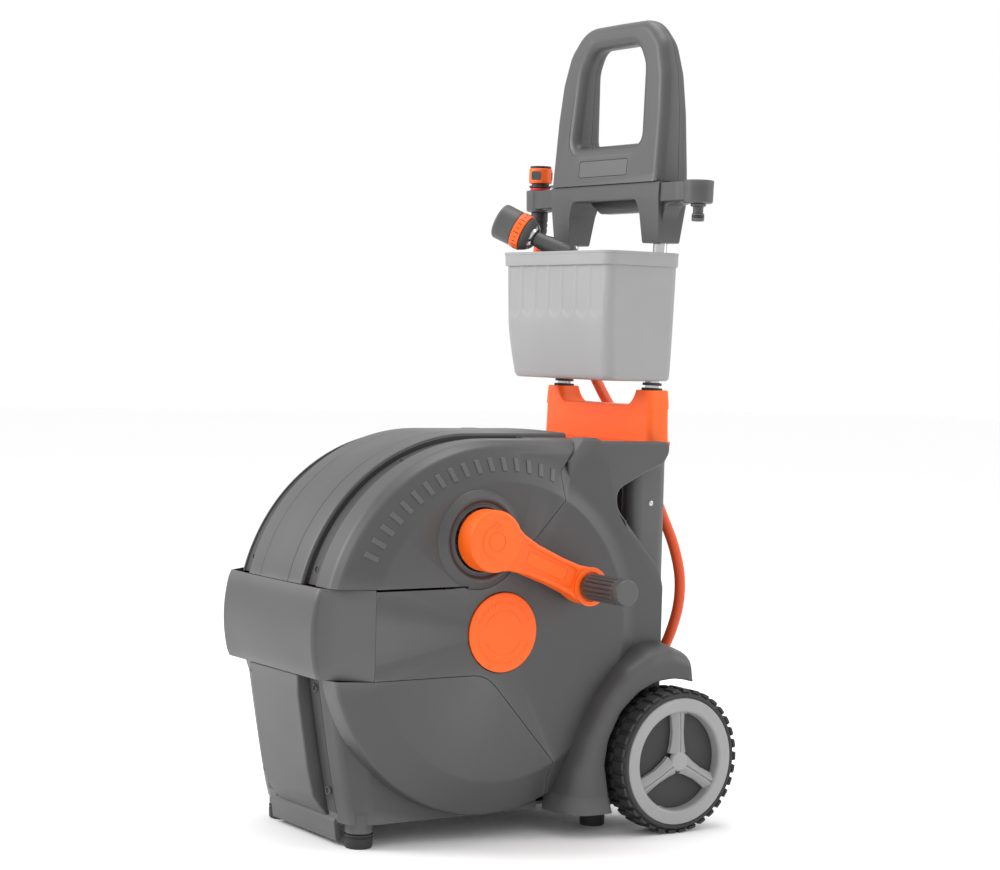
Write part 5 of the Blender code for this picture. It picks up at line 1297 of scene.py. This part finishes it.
def bucket_half(z):
    t = (z - BUCKET_FLOOR) / (RIM_TOP - BUCKET_FLOOR)
    return 0.1098 + 0.0092 * t ** 0.75


def bucket_front(z):
    """Depth of the bucket's front wall, which runs in below its bend."""
    if z > BUCKET_BEND:
        return 0.1690 - 0.0008 * (z - BUCKET_BEND) / 0.08
    return 0.1690 + 0.0105 * ((BUCKET_BEND - z) / (BUCKET_BEND - BUCKET_FLOOR)) ** 1.35


def bucket_section(z, grow, rear, radius, dense):
    half = bucket_half(z) + grow
    front = bucket_front(z) - grow
    corners = rounded_rect(0.0, (front + rear) / 2, half, (rear - front) / 2, radius, 6)
    found = []
    for i, (x, y) in enumerate(corners):
        found.append((x, y))
        nx, ny = corners[(i + 1) % len(corners)]
        if dense and abs(y - front) < 0.0004 and abs(ny - front) < 0.0004 and abs(nx - x) > 0.05:
            for k in range(1, 168):
                found.append((x + (nx - x) * k / 168, front))
    return [(x, y + (flute(x, z) if dense and abs(y - front) < 0.0004 else 0.0), z) for x, y in found]


def bucket():
    """Open tool bucket: fluted front, rolled rim, back wall in front of the tubes and four clips."""
    rear = 0.282
    levels = [BUCKET_FLOOR, BUCKET_FLOOR + 0.0008, BUCKET_FLOOR + 0.0025, BUCKET_FLOOR + 0.006]
    levels += [BUCKET_FLOOR + 0.006 + (RIM_TOP - 0.018 - BUCKET_FLOOR - 0.006) * i / 44 for i in range(1, 45)]
    lip = [-0.004, -0.0018, -0.0006, 0.0] + [0.0] * 44
    body = loft("bucket_body", [bucket_section(z, g, rear, 0.014, True) for z, g in zip(levels, lip)])
    rim_rows = [(RIM_TOP - 0.0180, 0.0005), (RIM_TOP - 0.0176, 0.0026), (RIM_TOP - 0.0165, 0.0031),
                (RIM_TOP - 0.0035, 0.0035), (RIM_TOP - 0.0032, 0.0040), (RIM_TOP - 0.0006, 0.0041),
                (RIM_TOP, 0.0034)]
    rim = loft("rim", [[(x, y, z) for x, y,
                        _ in bucket_section(RIM_TOP - 0.018, g, rear + 0.001, 0.016, False)]
                       for z, g in rim_rows])
    body = union(body, rim)
    inner_levels = [BUCKET_FLOOR + 0.003,
                    BUCKET_FLOOR + 0.006] + [BUCKET_FLOOR + 0.02 + 0.018 * i for i in range(9)]
    rows = [bucket_section(z, -0.0026 if z > BUCKET_FLOOR + 0.004 else -0.005, 0.2456, 0.012, False)
            for z in inner_levels]
    body = cut(body, loft("hollow", rows))
    back = []
    for z in (BUCKET_FLOOR - 0.01, 0.60, 0.64, RIM_TOP - 0.018, RIM_TOP + 0.01):
        half = bucket_half(min(max(z, BUCKET_FLOOR), RIM_TOP)) - 0.0028
        back.append([(x, y, z) for x, y in rounded_rect(0.0, 0.2828, half, 0.0373, 0.002, 3)])
    body = cut(body, loft("back_room", back))
    for s in (-1, 1):
        for z in (0.585, 0.690):
            y1 = tube_point(s, z)[1] + 0.004
            clip = softened(box("clip", (s * TUBE_X - 0.0125, 0.2445, z),
                                (s * TUBE_X + 0.0125, y1, z + 0.012)), 0.001, 2)
            clip = cut(clip, rod("clip_bore", TUBE_R + GAP, 0, 0.04, tube_point(s, z - 0.01),
                                        tube_axis(), 32))
            body = union(body, clip)
    done(body, PALE, nodes=["bucket"], angle=30)


# ---------------------------------------------------------------- yoke and grip

def yoke():
    """Crossbar with two sleeved legs, an arm and a cup to each side, and webs under the arms."""
    z0 = YOKE_BOTTOM
    top = YOKE_TOP
    arch = [(0.081, z0), (0.077, z0 + 0.040), (0.070, z0 + 0.0575)]
    outline = [(0.1155, z0), (0.1195, top), (-0.1195, top), (-0.1155, z0)]
    outline += [(-x, z) for x, z in arch] + [(x, z) for x, z in arch[::-1]]
    shape = rounded(outline, [0.003, 0, 0, 0.003, 0.003, 0.02, 0.012, 0.012, 0.02, 0.003], 6)
    body = prism_y("yoke_bar", shape, GRIP_FRONT + 0.001, GRIP_REAR - 0.002)
    taper = [(0.20, z0 - 0.01), (0.2475, z0 - 0.01), (GRIP_FRONT + 0.003, top - 0.02),
             (GRIP_FRONT + 0.003, top + 0.01),
             (0.20, top + 0.01)]
    body = cut(body, prism_x("front_taper", taper, -0.2, 0.2))
    rear = [(0.32, z0 - 0.01), (0.2785, z0 - 0.01), (GRIP_REAR - 0.004, top - 0.03),
            (GRIP_REAR - 0.004, top + 0.01),
            (0.32, top + 0.01)]
    body = cut(body, prism_x("rear_taper", rear, -0.2, 0.2))
    body = softened(body, 0.0050, 4, 40)
    lip = rounded([(-0.078, 0.798), (-0.062, 0.787), (-0.046, 0.777), (0.046, 0.777), (0.062, 0.787),
                   (0.078, 0.798)],
                  [0, 0.01, 0.01, 0.01, 0.01, 0], 5)
    body = union(body, prism_y("rear_lip", lip, 0.272, GRIP_REAR - 0.0042))
    for s in (-1, 1):
        plan = rounded([(s * 0.100, ARM_Y - 0.0178), (s * 0.100, ARM_Y + 0.0178), (s * 0.150, ARM_Y + 0.0170),
                        (s * ARM_END_X, ARM_Y + 0.0150), (s * ARM_END_X, ARM_Y - 0.0150),
                        (s * 0.150, ARM_Y - 0.0170)],
                       [0, 0, 0.01, 0, 0, 0.01], 4)
        body = union(body, softened(prism_z("arm", plan, ARM_Z0 + 0.0035, top - 0.0012), 0.0015, 3, 40))
        cup = [(0, ARM_END_R - 0.0032), (0.0010, ARM_END_R - 0.0014), (0.0030, ARM_END_R - 0.0008),
               (0.020, ARM_END_R - 0.0004), (top - ARM_Z0 - 0.0015, ARM_END_R),
               (top - ARM_Z0 - 0.0004, ARM_END_R - 0.0007),
               (top - ARM_Z0, ARM_END_R - 0.0020)]
        body = union(body, turned_rod("cup", cup, (s * ARM_END_X, ARM_Y, ARM_Z0), Z_AXIS, 64))
        web = rounded([(s * 0.110, z0 + 0.004), (s * 0.110, 0.790), (s * 0.158, 0.790), (s * 0.152, 0.7850),
                       (s * 0.128, 0.7815), (s * 0.1205, 0.770)], [0, 0, 0, 0.006, 0.012, 0.012], 6)
        body = union(body, softened(prism_y("web", web, ARM_Y - 0.012, ARM_Y + 0.012), 0.002, 3, 40))
        body = cut(body, rod("bore", TUBE_R + GAP, 0, 0.0655, tube_point(s, z0 - 0.005),
                                    tube_axis(), 32))
        body = cut(body, rod("socket", 0.0083, -0.02, 0.06, (s * ARM_END_X, ARM_Y, ARM_Z0),
                                    Z_AXIS, 32))
        dish = [(top - ARM_Z0 - 0.0015, 0.0128), (top - ARM_Z0 + 0.01, 0.0140)]
        if s > 0:
            body = cut(body, turned_rod("dish", dish, (s * ARM_END_X, ARM_Y, ARM_Z0), Z_AXIS, 48))
    done(body, GREY, nodes=["yoke"], angle=32)


def grip_outline():
    """Outline of the closed grip as (x, z), base to base over the top."""
    z0 = YOKE_TOP + 0.0004
    h = GRIP_HALF
    side = [(h - 0.0005, z0), (h, 0.830), (h - 0.0012, 0.900), (h - 0.0058, 0.950), (h - 0.0180, 0.990),
            (h - 0.0480, GRIP_TOP - 0.0005), (0.0, GRIP_TOP)]
    points = side + [(-x, z) for x, z in side[-2::-1]]
    return rounded(points, [0.001, 0.02, 0.06, 0.06, 0.045, 0.05, 0.08, 0.05, 0.045, 0.06, 0.06, 0.02,
                            0.001], 8)


def hand_hole(grow):
    """Outline of the hand opening, wider by a distance."""
    points = [(0.0715, 0.8640), (0.0650, 0.9640), (0.0480, 0.9915), (-0.0480, 0.9915), (-0.0650, 0.9640),
              (-0.0715, 0.8640)]
    return inset(rounded(points, [0.014, 0.035, 0.045, 0.045, 0.035, 0.014], 8), -grow)


def grip_face(x, z, front):
    rise = (z - YOKE_TOP) / (GRIP_TOP - YOKE_TOP)
    return GRIP_FRONT + 0.016 * rise if front else GRIP_REAR - 0.010 * rise


def grip_half(node_name, front):
    """One half of the grip, softly rounded outside and round the hand opening."""
    middle = 0.2715 + (-0.00025 if front else 0.00025)
    way = 1 if front else -1
    soft = 0.0125 if front else 0.0095
    outline = grip_outline()
    rings = []
    holes = []
    steps = 8
    for i in range(steps + 1):
        a = 0.5 * pi * i / steps
        depth = soft * (1 - cos(a))
        shrink = soft * (1 - sin(a))
        flat = inset(outline, shrink) if i < steps else outline
        base = min(z for _, z in outline)
        rings.append([(x, grip_face(x, z, front) + way * depth, max(z, base)) for x, z in
                      [(u, v if v > 0.86 else v - shrink * (0.86 - v) / 0.05) for u, v in flat]])
        hole = hand_hole(shrink)
        holes.append([(x, grip_face(x, z, front) + way * depth, z) for x, z in hole])
    edge_hole = [(x, grip_face(x, z, front) - way * 0.01, z) for x, z in hand_hole(soft + 0.001)]
    rings.append([(x, middle, z) for x, z in outline])
    holes = [edge_hole] + holes + [[(x, middle + way * 0.01, z) for x, z in hand_hole(0.0)]]
    half = cut(loft("half", rings), loft("hole", holes))
    if front:
        plate = rounded_rect(0.0, 0.8335, 0.053, 0.0110, 0.003, 5)
        outer = loft("plate", [[(x, grip_face(x, z, True) + d, z) for x, z in plate] for d in (-0.01,
                                                                                               0.0006)])
        line = inset(plate, 0.0009)
        inner = loft("plate_in", [[(x, grip_face(x, z, True) + d, z) for x, z in line] for d in (-0.02,
                                                                                                 0.02)])
        half = cut(half, cut(outer, inner))
    done(half, GREY, nodes=[node_name], angle=32).name = "handle_" + node_name


# ---------------------------------------------------------------- fittings

def nipple():
    """Stepped hose nipple under the right cup, with its black seal ring."""
    top = YOKE_TOP - 0.010
    steps = [(top, 0.0080), (ARM_Z0 - GAP, 0.0080), (ARM_Z0 - GAP, 0.0092), (ARM_Z0 - 0.0008, 0.0096),
             (ARM_Z0 - 0.0030, 0.0096), (ARM_Z0 - 0.0036, 0.0088), (ARM_Z0 - 0.0045, 0.0066),
             (ARM_Z0 - 0.0120, 0.0064),
             (ARM_Z0 - 0.0126, 0.0076), (ARM_Z0 - 0.0130, 0.0080), (ARM_Z0 - 0.0148, 0.0080),
             (ARM_Z0 - 0.0152, 0.0068),
             (ARM_Z0 - 0.0176, 0.0068), (ARM_Z0 - 0.0180, 0.0080), (ARM_Z0 - 0.0200, 0.0080),
             (ARM_Z0 - 0.0220, 0.0072)]
    centre = (ARM_END_X, ARM_Y, top)
    body = turned_rod("nipple", [(z - top, r) for z, r in steps], centre, Z_AXIS, 48)
    body = cut(body, rod("bore", 0.0048, -0.08, 0.02, centre, Z_AXIS, 32))
    done(body, GREY, nodes=["nipple_right"], angle=40)
    ring = [(0.0068 + 0.0013 * (1 + cos(a)) / 2, ARM_Z0 - 0.0164 + 0.0011 * sin(a)) for a in
            [2 * pi * k / 12 for k in range(12)]]
    done(screwed("nipple_seal", ring, True, Matrix.Translation((ARM_END_X, ARM_Y, 0)), 48), BLACK)


def tail_fitting():
    """Hose tail under the left cup, with grip rings."""
    top = YOKE_TOP - 0.010
    end = low("hose_tail").z
    steps = [(top, 0.0080), (ARM_Z0 - GAP, 0.0080), (ARM_Z0 - GAP, 0.0110), (ARM_Z0 - 0.0010, 0.0115),
             (end + 0.018, 0.0115), (end + 0.0175, 0.0106), (end + 0.0155, 0.0106), (end + 0.015, 0.0113),
             (end + 0.0105, 0.0112), (end + 0.010, 0.0104), (end + 0.008, 0.0104), (end + 0.0075, 0.0110),
             (end + 0.0030, 0.0106), (end, 0.0095)]
    centre = (-ARM_END_X, ARM_Y, top)
    body = turned_rod("tail", [(z - top, r) for z, r in steps], centre, Z_AXIS, 48)
    body = cut(body, rod("bore", 0.0045, -0.08, 0.02, centre, Z_AXIS, 32))
    return done(body, BLACK, nodes=["hose_tail"], angle=40)


def connector():
    """Quick connector on the left cup: red seat, dark body, orange sleeve with knurled windows."""
    base = Vector((-ARM_END_X, ARM_Y, YOKE_TOP))
    bore = [(-0.01, 0.0062), (0.02, 0.0062)]
    seat = cut(turned_rod("seat", [(0.0005, 0.0128), (0.0010, 0.0135), (0.0030, 0.0135), (0.0035, 0.0130)],
                          base, Z_AXIS),
               turned_rod("bore", bore, base, Z_AXIS, 32))
    done(seat, RED, nodes=["connector_seat"])
    steps = [(0.0038, 0.0142), (0.0045, 0.0151), (0.0066, 0.0151), (0.0070, 0.0140), (0.0072, 0.0118),
             (0.0303, 0.0118),
             (0.0307, 0.0140), (0.0312, 0.0146), (0.0330, 0.0144), (0.0335, 0.0136)]
    body = cut(turned_rod("coupler", steps, base, Z_AXIS, 56),
               rod("bore", 0.0088, -0.01, 0.05, base, Z_AXIS, 40))
    done(body, BLACK, nodes=["connector_body"], angle=40)
    steps = [(0.0100, 0.0148), (0.0106, 0.0154), (0.0120, 0.0158), (0.0285, 0.0158), (0.0297, 0.0154),
             (0.0302, 0.0148)]
    sleeve = turned_rod("sleeve", steps, base, Z_AXIS, 72)
    sleeve = cut(sleeve, rod("bore", 0.0121, 0.0, 0.05, base, Z_AXIS, 56))
    windows = []
    for k in range(3):
        angle = radians(-58 + 120 * k)
        turn = Matrix.Translation((base.x, base.y, 0)) @ Matrix.Rotation(angle, 4, "Z")
        outline = rounded_rect(0.0, base.z + 0.0201, 0.0072, 0.0062, 0.0028, 5)
        block = prism_x("window", outline, 0.0151, 0.0200)
        block.data.transform(turn)
        sleeve = cut(sleeve, block)
        patch = prism_x("patch", inset(outline, 0.0003), 0.0148, 0.01555)
        patch.data.transform(turn)
        windows.append(patch)
    done(sleeve, ORANGE, "release_sleeve", ["connector_sleeve"], angle=40)
    done(joined("sleeve_windows", windows), KNURL, "release_sleeve")


def hose_outlet():
    x, y, z = HOSE_ROUTE[0]
    stations = [(-0.0095, 0.0098), (-0.0029, 0.0098), (-0.0029, 0.0138), (-0.0022, 0.0145),
                (-0.0010, 0.0145), (0.0, 0.0136)]
    guide = turned_rod("outlet_ring", stations, (x, y - 0.0003, z), Y_AXIS, 40)
    guide = cut(guide, rod("bore", 0.0062, -0.02, 0.01, (x, y, z), Y_AXIS, 32))
    return done(guide, BLACK, nodes=["hose_outlet"], angle=40)


# ---------------------------------------------------------------- spray gun

GUN_POINT = place("selector_turn")
GUN_AXIS = Vector(JOINT["selector_turn"]["axis"]).normalized()
HANDLE_DIR = Vector((0.30, -0.25, -0.92)).normalized()
GUN_ACROSS = HANDLE_DIR.cross(GUN_AXIS).normalized()
TRIGGER = place("trigger_squeeze")
ELBOW = GUN_POINT - GUN_AXIS * 0.036


def gun_body():
    """Barrel and curved handle of the spray gun."""
    barrel = [(-0.0500, 0.0100), (-0.0490, 0.0122), (-0.0460, 0.0142), (-0.0420, 0.0150), (-0.0300, 0.0145),
              (-0.0120, 0.0125), (-0.0050, 0.0108), (0.0070, 0.0100), (0.0080, 0.0092)]
    body = turned_rod("gun", barrel, GUN_POINT, GUN_AXIS, 48)
    outward = GUN_ACROSS.cross(HANDLE_DIR).normalized()
    rings = []
    for i in range(15):
        t = i / 14
        centre = ELBOW + HANDLE_DIR * (0.098 * t)
        wide = 0.0125 + 0.0010 * sin(pi * t)
        deep = 0.0130 + 0.0012 * sin(pi * min(1.0, t * 1.2))
        if i == 14:
            wide -= 0.0012
            deep -= 0.0012
        rings.append([centre + GUN_ACROSS * wide * cos(a) + outward * deep * sin(a)
                      for a in [2 * pi * k / 36 for k in range(36)]])
    body = union(body, loft("handle", rings))
    done(body, GREY, "spray_gun", ["gun_body"], angle=40)
    inlet_top = ELBOW + HANDLE_DIR * 0.0983
    steps = [(0.0, 0.0118), (0.0005, 0.0125), (0.0035, 0.0125), (0.0040, 0.0120), (0.005, 0.0085),
             (0.0080, 0.0085),
             (0.0085, 0.0074), (0.0105, 0.0074), (0.011, 0.0084), (0.0190, 0.0082), (0.020, 0.0072)]
    inlet = turned_rod("inlet", steps, inlet_top, HANDLE_DIR, 36)
    inlet = cut(inlet, rod("bore", 0.005, -0.01, 0.03, inlet_top, HANDLE_DIR, 24))
    done(inlet, BLACK, "spray_gun", ["gun_inlet"], angle=40)


def gun_head():
    """Turning spray head: ribbed cup, silver neck ring, orange dial with plain raised marks."""
    head = [(0.0084, 0.0112), (0.0092, 0.0122), (0.0120, 0.0165), (0.0160, 0.0200), (0.0205, 0.0225),
            (0.0222, 0.0229),
            (0.0226, 0.0206), (0.0366, 0.0206), (0.0370, 0.0232), (0.0390, 0.0238), (0.0600, 0.0241),
            (0.0622, 0.0238), (0.0634, 0.0230), (0.0640, 0.0218)]
    cup = turned_rod("head", head, GUN_POINT, GUN_AXIS, 72)
    cup = cut(cup, turned_rod("mouth", [(0.0590, 0.0185), (0.0605, 0.0196), (0.0700, 0.0206)], GUN_POINT,
                              GUN_AXIS, 64))
    side = GUN_AXIS.orthogonal().normalized()
    holes = []
    for radius, count in ((0.0050, 6), (0.0105, 12), (0.0155, 18)):
        for k in range(count):
            a = 2 * pi * k / count
            spot = GUN_POINT + side * radius * cos(a) + GUN_AXIS.cross(side) * radius * sin(a)
            holes.append(rod("hole", 0.0009, 0.0575, 0.0600, spot, GUN_AXIS, 8))
    cup = cut(cup, joined("holes", holes))
    done(cup, GREY, "selector", ["gun_head"], angle=40)
    dial = [(0.0232, 0.0236), (0.0238, 0.0244), (0.0352, 0.0246), (0.0360, 0.0240)]
    ring = turned_rod("dial", dial, GUN_POINT, GUN_AXIS, 72)
    ring = cut(ring, rod("bore", 0.0209, 0.0, 0.06, GUN_POINT, GUN_AXIS, 64))
    done(ring, ORANGE, "selector", ["gun_ring"], angle=40)
    marks = []
    for k in range(24):
        a = 2 * pi * k / 24
        out = side * cos(a) + GUN_AXIS.cross(side) * sin(a)
        reach = 0.0040 if k % 3 == 0 else 0.0020
        middle = GUN_POINT + GUN_AXIS * 0.0296 + out * 0.0244
        marks.append(rod("mark", 0.0005, -reach, reach, middle, GUN_AXIS, 8))
    done(joined("dial_marks", marks), BLACK, "selector")
    neck = [(0.0088, 0.0128), (0.0094, 0.0142), (0.0112, 0.0164), (0.0124, 0.0176)]
    band = turned_rod("neck_band", neck, GUN_POINT, GUN_AXIS, 56)
    done(band, STEEL, "selector")


def gun_trigger():
    """Orange trigger lever, bowed along the handle."""
    outward = GUN_ACROSS.cross(HANDLE_DIR).normalized()
    if outward.dot(GUN_AXIS) > 0:
        outward = -outward
    rings = []
    stations = ((-0.0100, -0.0002, 0.0040, 0.0022), (-0.0090, 0.0, 0.0053, 0.0033),
                (0.0, 0.0018, 0.0060, 0.0035),
                (0.010, 0.0035, 0.0064, 0.0034), (0.022, 0.0050, 0.0065, 0.0031),
                (0.035, 0.0060, 0.0064, 0.0029),
                (0.050, 0.0071, 0.0060, 0.0026), (0.0610, 0.0079, 0.0054, 0.0023),
                (0.0620, 0.0080, 0.0044, 0.0015))
    for down, out, half, thick in stations:
        middle = TRIGGER + HANDLE_DIR * down + outward * out
        section = rounded_rect(0.0, 0.0, half, thick, thick * 0.55, 4)
        rings.append([middle + GUN_ACROSS * u + outward * v for u, v in section])
    done(loft("trigger", rings), ORANGE, "trigger", ["gun_trigger"], angle=40)


# ---------------------------------------------------------------- everything in its place

for LABEL, SIDE in SIDES.items():
    upper_cover(LABEL, SIDE)
    tub_side(LABEL, SIDE)
    side_frame(LABEL, SIDE)
    end_cap(LABEL, SIDE)
    wheel(LABEL, SIDE)
hood_crown()
front_belt()
tub_front()
base_tray()
rear_panel()
deck()
tubes()
bucket()
yoke()
grip_half("grip_front", True)
grip_half("grip_rear", False)
nipple()
TAIL = tail_fitting()
OUTLET = hose_outlet()
connector()
crank_arm()
knob()
feet()
gun_body()
gun_head()
gun_trigger()

KEPT = {"drum": BLACK, "hose_coil": HOSE, "drum_gear": PALE, "pinion": PALE, "drum_axle": STEEL,
        "knob_spindle": STEEL, "wheel_axle": STEEL}
for NAME, MATERIAL in KEPT.items():
    CAD = frame["nodes"][NAME]
    CAD.data.materials.clear()
    CAD.data.materials.append(MATERIAL)
